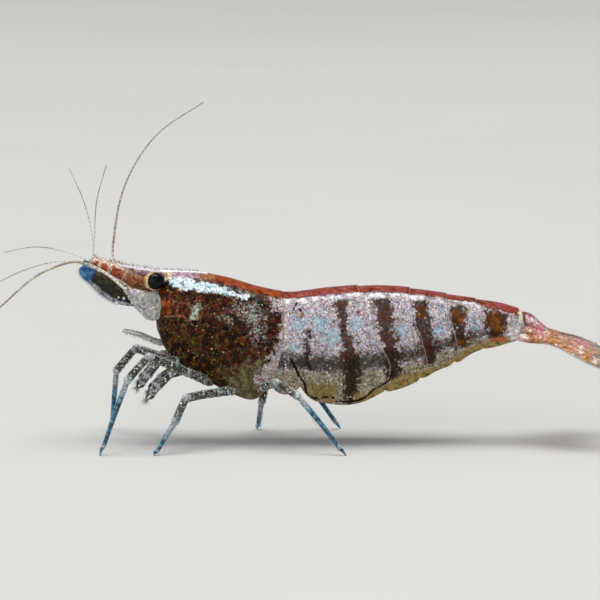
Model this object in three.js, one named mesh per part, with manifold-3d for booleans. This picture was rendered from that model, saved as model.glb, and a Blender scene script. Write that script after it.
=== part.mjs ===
// Dwarf freshwater shrimp, adult female, as a still life-size model.
// Millimetres, +Z up. The head looks towards -X and the animal's left side is
// towards -Y. While the pieces are made, x = 0 is just ahead of the tip of the
// rostrum, y = 0 is the median plane and z = 0 is the floor under the feet.
import * as THREE from "three";
import { mergeVertices } from "three/addons/utils/BufferGeometryUtils.js";
import Module from "manifold-3d";

const wasm = await Module();
wasm.setup();

// ---------------------------------------------------------------- dimensions

const GAP = 0.1; // clearance between neighbouring pieces
const THIN = 0.5; // thickness of blades, shell edges and feelers
const LIMB_SIDES = 8; // facets round a bar or blade
const SMALL_LIMB_SIDES = 6; // facets round a claw leg, mouth limb or swimmeret
const BLOCK = [60, 30, 5]; // the block under the floor that trims the feet level
const SIDE_BLOCK_DEPTH = 6; // more than the animal's width

// Length stations of the trunk: x, back, belly, half width.
const THORAX_STATIONS = [
  [3.4, 9.44, 6.9, 0.95],
  [3.9, 9.43, 5.45, 1.22],
  [4.7, 9.4, 4.55, 1.45],
  [5.9, 9.36, 3.85, 1.64],
  [7.4, 9.1, 2.98, 1.8],
  [9.0, 8.62, 2.5, 1.86],
  [10.6, 8.25, 2.6, 1.8],
];
const ABDOMEN_STATIONS = [
  [9.2, 8.2, 2.9, 1.66],
  [10.6, 8.34, 2.75, 1.74],
  [13.0, 8.53, 2.35, 1.82],
  [15.2, 8.67, 2.55, 1.78],
  [17.2, 8.54, 3.1, 1.62],
  [19.2, 8.22, 4.1, 1.42],
  [20.9, 7.93, 5.1, 1.16],
  [22.2, 7.72, 5.45, 0.95],
  [23.4, 7.35, 5.7, 0.74],
];
const HEAD_STATIONS = [
  [2.1, 9.12, 8.35, 0.42],
  [2.8, 9.3, 7.7, 0.7],
  [3.5, 9.38, 7.05, 0.86],
  [4.1, 9.38, 6.5, 0.95],
];
const TRUNK_STEP = 1.2; // spacing of the trunk's rings
const WIDEST_SHARE = 0.52; // height of the widest level, as a share of the section
const BELLY_ANGLE = { thorax: 148, abdomen: 130, head: 150 }; // where each section ends below
const BLUNTNESS = 0.85; // under 1 gives fuller sides than an ellipse
// The open channel between the side plates: its ends, its height as a share of
// the section, its bevel as a share of its half width, and how far its cutter
// reaches under the belly.
const CHANNEL = { start: 8.2, end: 21.8, steps: 9, heightShare: 0.36, bevel: 0.4, below: 1.5 };

// Side outlines (x, z) that part the trunk. Each later plate lies under the
// one named in COVERED_BY.
const CARAPACE_OUTLINE = [
  [3.3, 10.4],
  [3.95, 9.1],
  [3.6, 8.45],
  [3.78, 7.7],
  [3.4, 6.85],
  [3.3, 4.6],
  [6.0, 1.8],
  [8.9, 2.05],
  [9.85, 3.6],
  [10.35, 5.2],
  [10.45, 7.4],
  [10.3, 8.9],
  [8.0, 10.6],
];
const PLATE_OUTLINES = {
  abdomen_1: [
    [9.0, 9.4],
    [8.9, 4.4],
    [9.5, 3.05],
    [10.6, 2.95],
    [11.6, 3.6],
    [11.7, 6.0],
    [11.5, 9.4],
  ],
  abdomen_2: [
    [11.55, 9.6],
    [11.25, 7.6],
    [10.85, 5.0],
    [11.45, 3.2],
    [13.2, 2.46],
    [15.3, 2.8],
    [16.3, 3.9],
    [15.7, 5.7],
    [14.8, 7.6],
    [14.4, 9.6],
  ],
  abdomen_3: [
    [14.0, 9.8],
    [14.0, 3.6],
    [16.3, 2.95],
    [17.7, 3.4],
    [18.3, 4.5],
    [17.8, 6.2],
    [17.3, 7.6],
    [17.2, 9.8],
  ],
  abdomen_4: [
    [16.9, 9.6],
    [17.1, 3.9],
    [18.9, 4.1],
    [19.9, 4.7],
    [19.8, 5.8],
    [19.35, 7.2],
    [19.2, 9.6],
  ],
  abdomen_5: [
    [18.9, 9.2],
    [19.0, 4.9],
    [20.6, 5.15],
    [21.45, 5.6],
    [21.2, 6.5],
    [20.95, 7.3],
    [20.85, 9.2],
  ],
  abdomen_6: [
    [20.4, 9.2],
    [20.6, 5.3],
    [22.0, 5.42],
    [23.1, 5.6],
    [23.45, 6.4],
    [23.4, 9.2],
  ],
};
const COVERED_BY = {
  abdomen_1: ["abdomen_2"],
  abdomen_2: [],
  abdomen_3: ["abdomen_2"],
  abdomen_4: ["abdomen_3"],
  abdomen_5: ["abdomen_4"],
  abdomen_6: ["abdomen_5"],
};

const EYE = { x: 3.49, y: 1.42, z: 9.09, radius: 0.5, rightDrop: 0.25 };
const EYESTALK = { x: 2.95, y: 0.45, z: 8.75, root: 0.3, tip: 0.38 };

// Blades and stalks: centre line points as [x, distance from the median plane,
// z], half width and half thickness at each point, and the direction of the
// width for the animal's right side.
const ROSTRUM = {
  path: [
    [5.2, 0, 9.2],
    [3.6, 0, 9.27],
    [2.1, 0, 9.55],
    [0.6, 0, 9.9],
  ],
  wide: [0.12, 0.25, 0.25, 0.13],
  thick: [0.28, 0.26, 0.25, 0.22],
  across: [0, 0, 1],
};
const ANTENNULE = {
  path: [
    [2.6, 0.42, 8.8],
    [1.75, 0.44, 9.28],
    [1.0, 0.42, 9.64],
    [0.25, 0.4, 9.92],
  ],
  wide: [0.42, 0.36, 0.33, 0.26],
  thick: [0.38, 0.34, 0.31, 0.26],
  across: [0, 0, 1],
};
const ANTENNA_BASE = {
  path: [
    [3.7, 0.95, 7.35],
    [3.1, 1.12, 7.75],
    [2.3, 1.14, 8.2],
  ],
  wide: [0.62, 0.7, 0.34],
  thick: [0.3, 0.36, 0.3],
  across: [0.45, 0.12, 0.85],
};
const ANTENNAL_SCALE = {
  path: [
    [2.5, 1.2, 8.12],
    [1.7, 1.28, 8.52],
    [0.8, 1.36, 8.93],
    [0.1, 1.42, 9.38],
    [-0.5, 1.45, 9.78],
  ],
  wide: [0.3, 0.58, 0.62, 0.52, 0.32],
  thick: [0.25, 0.25, 0.25, 0.25, 0.25],
  across: [0.4, -0.3, 0.86],
};
const MAXILLIPED = {
  path: [
    [4.4, 0.42, 5.35],
    [3.4, 0.5, 5.6],
    [2.6, 0.5, 6.0],
    [1.75, 0.45, 6.2],
  ],
  wide: [0.3, 0.28, 0.26, 0.25],
  thick: [0.28, 0.26, 0.25, 0.25],
  across: [0, 0, 1],
};
const TELSON = {
  path: [
    [23.3, 0, 6.82],
    [24.4, 0, 6.34],
    [26.0, 0, 5.72],
    [27.5, 0, 5.45],
  ],
  wide: [0.56, 0.6, 0.46, 0.26],
  thick: [0.4, 0.34, 0.28, 0.25],
  across: [0, 1, 0],
};
const UROPOD_INNER = {
  path: [
    [23.55, 0.66, 6.2],
    [24.8, 0.95, 6.04],
    [26.3, 1.2, 5.76],
    [27.9, 1.4, 5.2],
  ],
  wide: [0.28, 0.56, 0.7, 0.42],
  thick: [0.3, 0.27, 0.25, 0.25],
  across: [0, 0.98, -0.2],
};
const UROPOD_OUTER = {
  path: [
    [23.6, 0.98, 5.82],
    [24.8, 1.62, 5.56],
    [26.3, 2.15, 5.18],
    [28.15, 2.55, 4.42],
  ],
  wide: [0.28, 0.62, 0.85, 0.5],
  thick: [0.3, 0.27, 0.25, 0.25],
  across: [0, 0.99, -0.14],
};
const SWIMMERETS = { roots: [10.9, 13.2, 15.8, 18.1, 19.9], lengths: [1.5, 1.9, 1.9, 1.6, 1.2] };
const SWIMMERET = { y: 0.45, sweep: 0.45, wide: [0.3, 0.42, 0.3], thick: 0.26, root: 0.2 };

// Claw legs and walking legs: hip, then each joint down to the tip.
const CLAW_LEGS = {
  1: [
    [5.0, 0.7, 4.75],
    [3.75, 1.3, 4.7],
    [3.1, 1.25, 3.95],
    [2.5, 1.05, 3.2],
  ],
  2: [
    [5.5, 0.7, 4.2],
    [4.35, 1.15, 3.95],
    [3.65, 1.35, 3.35],
    [3.0, 1.3, 2.6],
  ],
};
const CLAW_GIRTH = [0.28, 0.27, 0.27, 0.26];
const WALKING_LEGS = {
  left: {
    3: { hip: [6.5, 0.9, 3.5], knee: [3.2, 3.0, 5.2], wrist: [2.1, 3.5, 4.0], foot: [0.65, 4.0] },
    4: { hip: [7.9, 0.95, 3.1], knee: [5.2, 3.0, 2.95], wrist: [4.65, 3.4, 1.75], foot: [3.55, 4.0] },
    5: { hip: [8.9, 0.95, 3.1], knee: [10.1, 2.7, 3.75], wrist: [11.2, 3.1, 3.1], foot: [13.8, 4.0] },
  },
  right: {
    3: { hip: [6.5, 0.9, 3.5], knee: [2.2, 2.9, 4.75], wrist: [1.1, 3.4, 3.4], foot: [0.75, 3.9] },
    4: { hip: [7.7, 0.95, 3.0], knee: [9.5, 2.8, 2.95], wrist: [9.2, 3.3, 1.65], foot: [8.95, 4.0] },
    5: { hip: [8.9, 0.95, 3.1], knee: [10.2, 2.6, 4.1], wrist: [11.3, 3.0, 3.3], foot: [13.6, 4.0] },
  },
};
const LEG_GIRTH = { hip: 0.36, knee: 0.27, wrist: 0.26, foot: 0.26 };
const TOE_BELOW = 0.3; // how far a foot's centre line runs on before the floor trims it

// Feelers: points of each one's centre line.
const FEELER_RADIUS = THIN / 2;
const FEELER_SIDES = 8;
const WHIP_SPLIT = [0.495, 0.502]; // shares of the length where a long feeler is parted
const WHIP_STEPS = 9; // steps in each half of a long feeler
const SHORT_FEELER_STEPS = 6;
const ANTENNAE = {
  left: [
    [2.0, 1.62, 8.62],
    [0.6, 1.75, 9.75],
    [-0.6, 1.9, 10.2],
    [-2.3, 2.1, 9.75],
    [-5.0, 2.5, 7.65],
    [-8.2, 3.3, 5.3],
    [-11.6, 4.3, 3.5],
  ],
  right: [
    [2.0, 1.62, 8.62],
    [1.1, 1.75, 9.9],
    [1.15, 1.9, 11.4],
    [1.75, 2.2, 14.0],
    [3.4, 2.8, 16.6],
    [6.0, 3.5, 18.4],
  ],
};
const ANTENNULE_FEELERS = {
  left_upper: [
    [0.1, 0.36, 10.2],
    [0.18, 0.4, 11.2],
    [0.36, 0.6, 13.4],
    [0.9, 0.95, 15.3],
  ],
  left_lower: [
    [-0.1, 0.55, 9.85],
    [-1.5, 0.7, 10.1],
    [-3.4, 0.95, 9.7],
    [-5.2, 1.2, 8.9],
  ],
  right_upper: [
    [0.1, 0.36, 10.2],
    [0.0, 0.7, 11.3],
    [-0.5, 1.2, 13.2],
    [-1.3, 1.7, 14.9],
  ],
  right_lower: [
    [-0.1, 0.55, 9.85],
    [-1.4, 0.9, 10.4],
    [-3.2, 1.5, 10.6],
    [-5.0, 2.2, 10.2],
  ],
};

const FINISHES = {
  shell: { color: 0x8d5a45, roughness: 0.35 },
  banded: { color: 0xa79299, roughness: 0.35 },
  fan: { color: 0xc06a4a, roughness: 0.4 },
  limb: { color: 0xaab0a8, roughness: 0.4 },
  feeler: { color: 0xb39d7d, roughness: 0.5 },
  eye: { color: 0x0b0a09, roughness: 0.12 },
};

// ------------------------------------------------------------------- solids

/** A point on the animal's left (side -1) or right (side +1). */
function place([x, outward, z], side) {
  return new THREE.Vector3(x, outward * side, z);
}

/** The closed geometry as a solid, its faces turned outwards. */
function solid(geometry) {
  const bare = geometry.index ? geometry.clone() : geometry;
  bare.deleteAttribute("normal");
  bare.deleteAttribute("uv");
  const merged = mergeVertices(bare, 1e-4);
  const points = merged.attributes.position;
  const faces = new Uint32Array(merged.index.array);
  const corner = [0, 1, 2].map(() => new THREE.Vector3());
  let volume = 0;
  for (let i = 0; i < faces.length; i += 3) {
    corner.forEach((c, k) => c.fromBufferAttribute(points, faces[i + k]));
    volume += corner[0].dot(corner[1].clone().cross(corner[2]));
  }
  if (volume < 0) {
    faces.reverse();
  }
  const mesh = new wasm.Mesh({
    numProp: 3,
    vertProperties: new Float32Array(points.array),
    triVerts: faces,
  });
  return new wasm.Manifold(mesh);
}

/** The biggest single body of a cut solid, without crumbs. */
function mainBody(cut) {
  const bodies = cut.decompose();
  return bodies.reduce((best, body) => (body.volume() > best.volume() ? body : best));
}

/** Skin over rings with equal numbers of points, with a fan over each end. */
function loft(rings) {
  const count = rings[0].length;
  const points = rings.flat();
  const faces = [];
  for (let r = 0; r + 1 < rings.length; r++) {
    for (let i = 0; i < count; i++) {
      const a = r * count + i;
      const b = r * count + ((i + 1) % count);
      faces.push(a, b, b + count, a, b + count, a + count);
    }
  }
  const last = (rings.length - 1) * count;
  for (let i = 1; i + 1 < count; i++) {
    faces.push(0, i + 1, i, last, last + i, last + i + 1);
  }
  const geometry = new THREE.BufferGeometry().setFromPoints(points);
  geometry.setIndex(faces);
  return solid(geometry);
}

/** Values between stations, on a smooth curve through them. */
function valuesAt(stations, x) {
  const last = stations.length - 1;
  const next = Math.min(last, Math.max(1, stations.findIndex((s) => s[0] > x)));
  const at = x >= stations[last][0] ? last : next;
  const low = stations[at - 1];
  const high = stations[at];
  const before = stations[Math.max(0, at - 2)];
  const after = stations[Math.min(last, at + 1)];
  const span = high[0] - low[0];
  const t = (x - low[0]) / span;
  return low.slice(1).map((a, k) => {
    const b = high[k + 1];
    const slopeA = ((b - before[k + 1]) / (high[0] - before[0])) * span;
    const slopeB = ((after[k + 1] - a) / (after[0] - low[0])) * span;
    const turn = (2 * t ** 3 - 3 * t ** 2 + 1) * a + (3 * t ** 2 - 2 * t ** 3) * b;
    return turn + (t ** 3 - 2 * t ** 2 + t) * slopeA + (t ** 3 - t ** 2) * slopeB;
  });
}

/** The trunk's section at x: rounded back, full sides, flat belly. */
function trunkRing(stations, x, bellyAngle, grow) {
  const [back, belly, half] = valuesAt(stations, x);
  const middle = belly + WIDEST_SHARE * (back - belly);
  const end = THREE.MathUtils.degToRad(bellyAngle);
  const sideSteps = 7;
  const ring = [];
  for (let i = -sideSteps; i <= sideSteps; i++) {
    const angle = (i / sideSteps) * end;
    const rise = Math.cos(angle);
    const reach = (half + grow) * Math.abs(Math.sin(angle)) ** BLUNTNESS;
    const up = (back + grow - middle) * rise;
    const down = ((middle - belly + grow) * rise) / Math.abs(Math.cos(end));
    ring.push(new THREE.Vector3(x, Math.sign(i) * reach, middle + (rise > 0 ? up : down)));
  }
  return ring;
}

/** A length of the trunk, lofted through its stations. */
function trunk(stations, bellyAngle, grow = 0) {
  const start = stations[0][0] - grow;
  const end = stations[stations.length - 1][0] + grow;
  const steps = Math.ceil((end - start) / TRUNK_STEP);
  const rings = [];
  for (let i = 0; i <= steps; i++) {
    const x = start + ((end - start) * i) / steps;
    rings.push(trunkRing(stations, x, bellyAngle, grow));
  }
  return loft(rings);
}

/** The open channel under the abdomen, between the side plates. */
function channel(shrink = 0) {
  const { start, end, steps } = CHANNEL;
  const edge = Math.sin(THREE.MathUtils.degToRad(BELLY_ANGLE.abdomen)) ** BLUNTNESS;
  const rings = [];
  for (let i = 0; i <= steps; i++) {
    const x = start + ((end - start) * i) / steps;
    const [back, belly, half] = valuesAt(ABDOMEN_STATIONS, Math.max(x, ABDOMEN_STATIONS[0][0]));
    const reach = half * edge - THIN - shrink;
    const top = belly + CHANNEL.heightShare * (back - belly) - shrink;
    const shoulder = top - reach * CHANNEL.bevel;
    const flat = reach * (1 - CHANNEL.bevel);
    const bottom = belly - CHANNEL.below;
    const outline = [
      [-reach, bottom],
      [-reach, shoulder],
      [-flat, top],
      [flat, top],
      [reach, shoulder],
      [reach, bottom],
    ];
    rings.push(outline.map(([y, z]) => new THREE.Vector3(x, y, z)));
  }
  return loft(rings);
}

/** A block with the given side outline, right through the animal. */
function sideBlock(outline, grow = 0) {
  const centre = new THREE.Vector2();
  outline.forEach(([x, z]) => centre.add(new THREE.Vector2(x, z)));
  centre.divideScalar(outline.length);
  const points = outline.map(([x, z]) => {
    const point = new THREE.Vector2(x, z);
    const away = point.clone().sub(centre).normalize();
    return point.addScaledVector(away, grow);
  });
  const curve = new THREE.SplineCurve([...points, points[0].clone()]);
  const shape = new THREE.Shape(curve.getPoints(outline.length * 2));
  const settings = { depth: SIDE_BLOCK_DEPTH, bevelEnabled: false };
  const block = new THREE.ExtrudeGeometry(shape, settings);
  block.rotateX(Math.PI / 2);
  block.translate(0, SIDE_BLOCK_DEPTH / 2, 0);
  return solid(block);
}

/** A rounded bar or blade along a centre line, on one side of the animal. */
function bar({ path, wide, thick, across }, side, { grow = 0, sides = LIMB_SIDES } = {}) {
  const axis = new THREE.CatmullRomCurve3(path.map((p) => place(p, side)));
  const girths = path.map((_, i) => new THREE.Vector3(wide[i], thick[i], 0));
  const girth = new THREE.CatmullRomCurve3(girths);
  const widthWay = place(across, side);
  const count = (path.length - 1) * 2;
  const section = (t, share, shift) => {
    const along = axis.getTangent(t);
    const centre = axis.getPoint(t).addScaledVector(along, shift);
    const out = widthWay.clone().addScaledVector(along, -widthWay.dot(along)).normalize();
    const flat = along.clone().cross(out);
    const size = girth.getPoint(t);
    return Array.from({ length: sides }, (_, k) => {
      const angle = (k / sides) * Math.PI * 2;
      const a = Math.cos(angle) * (size.x + grow) * share;
      const b = Math.sin(angle) * (size.y + grow) * share;
      return centre.clone().addScaledVector(out, a).addScaledVector(flat, b);
    });
  };
  const rootRound = thick[0] * 0.5 + grow;
  const tipRound = thick[thick.length - 1] * 0.5 + grow;
  const rings = [section(0, 0.6, -rootRound)];
  for (let i = 0; i <= count; i++) {
    rings.push(section(i / count, 1, 0));
  }
  rings.push(section(1, 0.6, tipRound));
  return loft(rings);
}

/** Bar measures for a round limb through the given joints. */
function limb(path, girths) {
  return { path, wide: girths, thick: girths, across: [0.12, 1, 0.3] };
}

/** An even tube along part of a feeler's centre line. */
function feeler(points, side, from, to, steps) {
  const whole = new THREE.CatmullRomCurve3(points.map((p) => place(p, side)));
  const stops = Array.from({ length: steps }, (_, i) =>
    whole.getPointAt(from + ((to - from) * i) / (steps - 1)),
  );
  const section = new THREE.Shape();
  for (let i = 0; i < FEELER_SIDES; i++) {
    const angle = (i / FEELER_SIDES) * Math.PI * 2;
    const [a, b] = [FEELER_RADIUS * Math.cos(angle), FEELER_RADIUS * Math.sin(angle)];
    i ? section.lineTo(a, b) : section.moveTo(a, b);
  }
  const path = new THREE.CatmullRomCurve3(stops);
  return solid(new THREE.ExtrudeGeometry(section, { steps, extrudePath: path }));
}

/** Height of an eye's centre: the right eye is held a little lower. */
function eyeLevel(side) {
  return side > 0 ? EYE.z - EYE.rightDrop : EYE.z;
}

/** An eye, or the room that it needs. */
function eyeball(side, grow = 0) {
  const ball = new THREE.SphereGeometry(EYE.radius + grow, 12, 8);
  ball.rotateX(Math.PI / 2);
  ball.translate(EYE.x, EYE.y * side, eyeLevel(side));
  return solid(ball);
}

// --------------------------------------------------------------------- model

const shrimp = new THREE.Group();
const model = new THREE.Group();
shrimp.add(model);

/** Adds a solid to the model as a named mesh. */
function add(name, body, finish) {
  const { numProp, vertProperties, triVerts } = mainBody(body).getMesh();
  const stored = new THREE.InterleavedBuffer(vertProperties, numProp);
  const geometry = new THREE.BufferGeometry();
  geometry.setAttribute("position", new THREE.InterleavedBufferAttribute(stored, 3, 0));
  geometry.setIndex(new THREE.BufferAttribute(triVerts, 1));
  geometry.computeVertexNormals();
  const mesh = new THREE.Mesh(geometry, new THREE.MeshStandardMaterial(FINISHES[finish]));
  mesh.name = name;
  model.add(mesh);
}

const sides = { left: -1, right: 1 };
const carapaceRoom = sideBlock(CARAPACE_OUTLINE, GAP);
const thoraxRoom = trunk(THORAX_STATIONS, BELLY_ANGLE.thorax, GAP);
const rostrumRoom = bar(ROSTRUM, 1, { grow: GAP });

/** Carapace, rostrum and the head that shows in front of them. */
function addForebody() {
  let carapace = trunk(THORAX_STATIONS, BELLY_ANGLE.thorax).intersect(sideBlock(CARAPACE_OUTLINE));
  let head = trunk(HEAD_STATIONS, BELLY_ANGLE.head).subtract(carapaceRoom).subtract(rostrumRoom);
  for (const side of Object.values(sides)) {
    carapace = carapace.subtract(eyeball(side, GAP));
    head = head.subtract(eyeball(side, GAP));
  }
  add("carapace", carapace.subtract(rostrumRoom), "shell");
  add("rostrum", bar(ROSTRUM, 1), "shell");
  add("head", head, "shell");
}

/** The six rings of the abdomen with their side plates. */
function addAbdomen() {
  const whole = trunk(ABDOMEN_STATIONS, BELLY_ANGLE.abdomen).subtract(channel());
  for (const [name, outline] of Object.entries(PLATE_OUTLINES)) {
    let plate = whole.intersect(sideBlock(outline));
    for (const cover of COVERED_BY[name]) {
      plate = plate.subtract(sideBlock(PLATE_OUTLINES[cover], GAP));
    }
    add(name, name === "abdomen_1" ? plate.subtract(carapaceRoom) : plate, "banded");
  }
}

/** Telson and the two pairs of tail blades. */
function addTailFan() {
  const lastRing = sideBlock(PLATE_OUTLINES.abdomen_6, GAP);
  const telsonRoom = bar(TELSON, 1, { grow: GAP });
  add("telson", bar(TELSON, 1, { sides: 12 }).subtract(lastRing), "fan");
  for (const [name, side] of Object.entries(sides)) {
    const inner = bar(UROPOD_INNER, side).subtract(lastRing).subtract(telsonRoom);
    const outer = bar(UROPOD_OUTER, side).subtract(lastRing).subtract(telsonRoom);
    add(`uropod_${name}_inner`, inner, "fan");
    add(`uropod_${name}_outer`, outer.subtract(bar(UROPOD_INNER, side, { grow: GAP })), "fan");
  }
}

/** Eyes, stalks, antennules, scales and feelers of the head. */
function addHeadLimbs() {
  for (const [name, side] of Object.entries(sides)) {
    const stalkPath = [
      [EYESTALK.x, EYESTALK.y, EYESTALK.z],
      [EYE.x, EYE.y, eyeLevel(side)],
    ];
    const girths = [EYESTALK.root, EYESTALK.tip];
    const stalkMeasures = { path: stalkPath, wide: girths, thick: girths, across: [0, 0, 1] };
    const antennule = bar(ANTENNULE, side);
    const antennuleRoom = bar(ANTENNULE, side, { grow: GAP });
    const baseRoom = bar(ANTENNA_BASE, side, { grow: GAP });
    const scaleRoom = bar(ANTENNAL_SCALE, side, { grow: GAP });
    const headRoom = trunk(HEAD_STATIONS, BELLY_ANGLE.head, GAP);
    const stalk = bar(stalkMeasures, side)
      .subtract(eyeball(side, GAP))
      .subtract(headRoom)
      .subtract(carapaceRoom)
      .subtract(antennuleRoom);
    add(`eye_${name}`, eyeball(side), "eye");
    add(`eyestalk_${name}`, stalk, "limb");
    add(`antennule_${name}`, antennule.subtract(headRoom).subtract(rostrumRoom), "limb");
    const base = bar(ANTENNA_BASE, side).subtract(headRoom).subtract(carapaceRoom);
    add(`antenna_${name}_base`, base, "limb");
    add(`antennal_scale_${name}`, bar(ANTENNAL_SCALE, side).subtract(baseRoom), "limb");
    const whip = ANTENNAE[name];
    const rootLength = feeler(whip, side, 0, WHIP_SPLIT[0], WHIP_STEPS);
    add(`antenna_${name}_feeler_1`, rootLength.subtract(baseRoom).subtract(scaleRoom), "feeler");
    add(`antenna_${name}_feeler_2`, feeler(whip, side, WHIP_SPLIT[1], 1, WHIP_STEPS), "feeler");
    for (const level of ["upper", "lower"]) {
      const line = ANTENNULE_FEELERS[`${name}_${level}`];
      const thin = feeler(line, side, 0, 1, SHORT_FEELER_STEPS);
      add(`antennule_${name}_${level}_feeler`, thin.subtract(antennuleRoom), "feeler");
    }
  }
}

/** Mouth limbs, claw legs and the jointed walking legs with level feet. */
function addLegs() {
  const ground = new THREE.BoxGeometry(...BLOCK);
  const below = solid(ground.translate(0, 0, -BLOCK[2] / 2));
  const small = { sides: SMALL_LIMB_SIDES };
  for (const [name, side] of Object.entries(sides)) {
    add(`maxilliped_${name}`, bar(MAXILLIPED, side, small).subtract(thoraxRoom), "limb");
    for (const [number, joints] of Object.entries(CLAW_LEGS)) {
      const leg = bar(limb(joints, CLAW_GIRTH), side, small);
      add(`claw_leg_${number}_${name}`, leg.subtract(thoraxRoom), "limb");
    }
    for (const [number, joints] of Object.entries(WALKING_LEGS[name])) {
      const foot = [...joints.foot, 0];
      const wristToFoot = place(foot, 1).sub(place(joints.wrist, 1)).normalize();
      const toe = place(foot, 1).addScaledVector(wristToFoot, TOE_BELOW).toArray();
      const girth = LEG_GIRTH;
      const upper = limb([joints.hip, joints.knee], [girth.hip, girth.knee]);
      const lowerGirths = [girth.knee, girth.wrist, girth.foot, girth.foot];
      const lower = limb([joints.knee, joints.wrist, foot, toe], lowerGirths);
      const lowerRoom = bar(lower, side, { grow: GAP });
      const thigh = bar(upper, side).subtract(thoraxRoom).subtract(lowerRoom);
      add(`leg_${number}_${name}_upper`, thigh, "limb");
      add(`leg_${number}_${name}_lower`, bar(lower, side).subtract(below), "limb");
    }
  }
}

/** Five pairs of swimmerets, folded forwards in the channel. */
function addSwimmerets() {
  const room = channel(GAP);
  for (const [name, side] of Object.entries(sides)) {
    SWIMMERETS.roots.forEach((x, i) => {
      const [back, belly] = valuesAt(ABDOMEN_STATIONS, x);
      const top = belly + CHANNEL.heightShare * (back - belly);
      const { y, sweep, wide, thick, root } = SWIMMERET;
      const path = [-root, 0.5, 1].map((share) => {
        const down = share * SWIMMERETS.lengths[i];
        return [x - sweep * down, y, top - down];
      });
      const blade = { path, wide, thick: wide.map(() => thick), across: [1, 0, 0.3] };
      const swimmeret = bar(blade, side, { sides: SMALL_LIMB_SIDES }).intersect(room);
      add(`swimmeret_${i + 1}_${name}`, swimmeret, "limb");
    });
  }
}

addForebody();
addAbdomen();
addTailFan();
addHeadLimbs();
addLegs();
addSwimmerets();

// The origin is on the floor under the middle of the whole model.
const box = new THREE.Box3().setFromObject(model);
const middle = box.getCenter(new THREE.Vector3());
model.position.set(-middle.x, -middle.y, -box.min.z);

export default shrimp;
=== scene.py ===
"""An aquarium shrimp, life size: a banded female dwarf shrimp of fresh water, standing.

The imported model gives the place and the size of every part. This script puts the finished
pieces round it: shell plates, eyes, feelers, limbs, tail fan and bristles.

Lengths are in millimetres in the body's own frame: x runs from the tip of the rostrum to
the tail, y from the left side to the right and z up from the floor. to_frame() turns them
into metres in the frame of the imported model.
"""

import math

import bmesh
import bpy
import numpy as np
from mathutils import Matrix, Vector


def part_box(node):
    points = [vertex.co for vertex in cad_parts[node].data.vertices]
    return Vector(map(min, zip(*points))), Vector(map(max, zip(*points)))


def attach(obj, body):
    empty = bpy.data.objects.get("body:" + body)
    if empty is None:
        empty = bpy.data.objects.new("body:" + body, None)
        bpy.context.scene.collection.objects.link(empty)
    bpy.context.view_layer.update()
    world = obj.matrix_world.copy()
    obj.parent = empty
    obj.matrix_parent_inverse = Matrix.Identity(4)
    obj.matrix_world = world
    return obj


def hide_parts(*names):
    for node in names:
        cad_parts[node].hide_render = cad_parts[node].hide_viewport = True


# ---------------------------------------------------------------- dimensions

MM = 0.001
SIDES = {"left": -1, "right": 1}

EYE = {"x": 3.49, "y": 1.42, "z": 9.09, "radius": 0.5, "longer": 1.12, "flat": 0.94, "axis": (0.3, 1, 0.1)}
EYE_DROP = {"left": 0.0, "right": 0.25}  # the right eye hangs a little lower
# The gold ring and the pale socket start at an angle from the eye's outer pole, in degrees:
# the ring nearer to it ahead, the socket nearer to it below.
EYE_RING = {"at": 72, "ahead": 24}
EYE_SOCKET = {"at": 86, "below": 26}
EYESTALK = {"root": (3.0, 0.4, 8.8), "girths": [0.3, 0.38, 0.53], "short": 0.22}

# Length stations of the trunk: x, back, belly, half width, and the angle from the back
# line at which the shell ends below.
TRUNK_STATIONS = [
    (2.1, 9.12, 8.35, 0.42, 150),
    (2.8, 9.30, 7.70, 0.70, 150),
    (3.4, 9.40, 6.90, 0.95, 148),
    (3.9, 9.43, 5.45, 1.22, 148),
    (4.7, 9.40, 4.55, 1.45, 148),
    (5.9, 9.36, 3.85, 1.64, 148),
    (7.4, 9.10, 2.98, 1.80, 148),
    (9.0, 8.62, 2.50, 1.86, 144),
    (10.6, 8.32, 2.70, 1.78, 132),
    (13.0, 8.53, 2.35, 1.82, 130),
    (15.2, 8.67, 2.55, 1.78, 130),
    (17.2, 8.54, 3.10, 1.62, 130),
    (19.2, 8.22, 4.10, 1.42, 130),
    (20.9, 7.93, 5.10, 1.16, 130),
    (22.2, 7.72, 5.45, 0.95, 130),
    (23.4, 7.35, 5.70, 0.74, 130),
]
WIDEST_SHARE = 0.52  # height of the widest level, as a share of the section
BLUNTNESS = 0.85  # under 1 gives fuller sides than an ellipse

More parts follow.
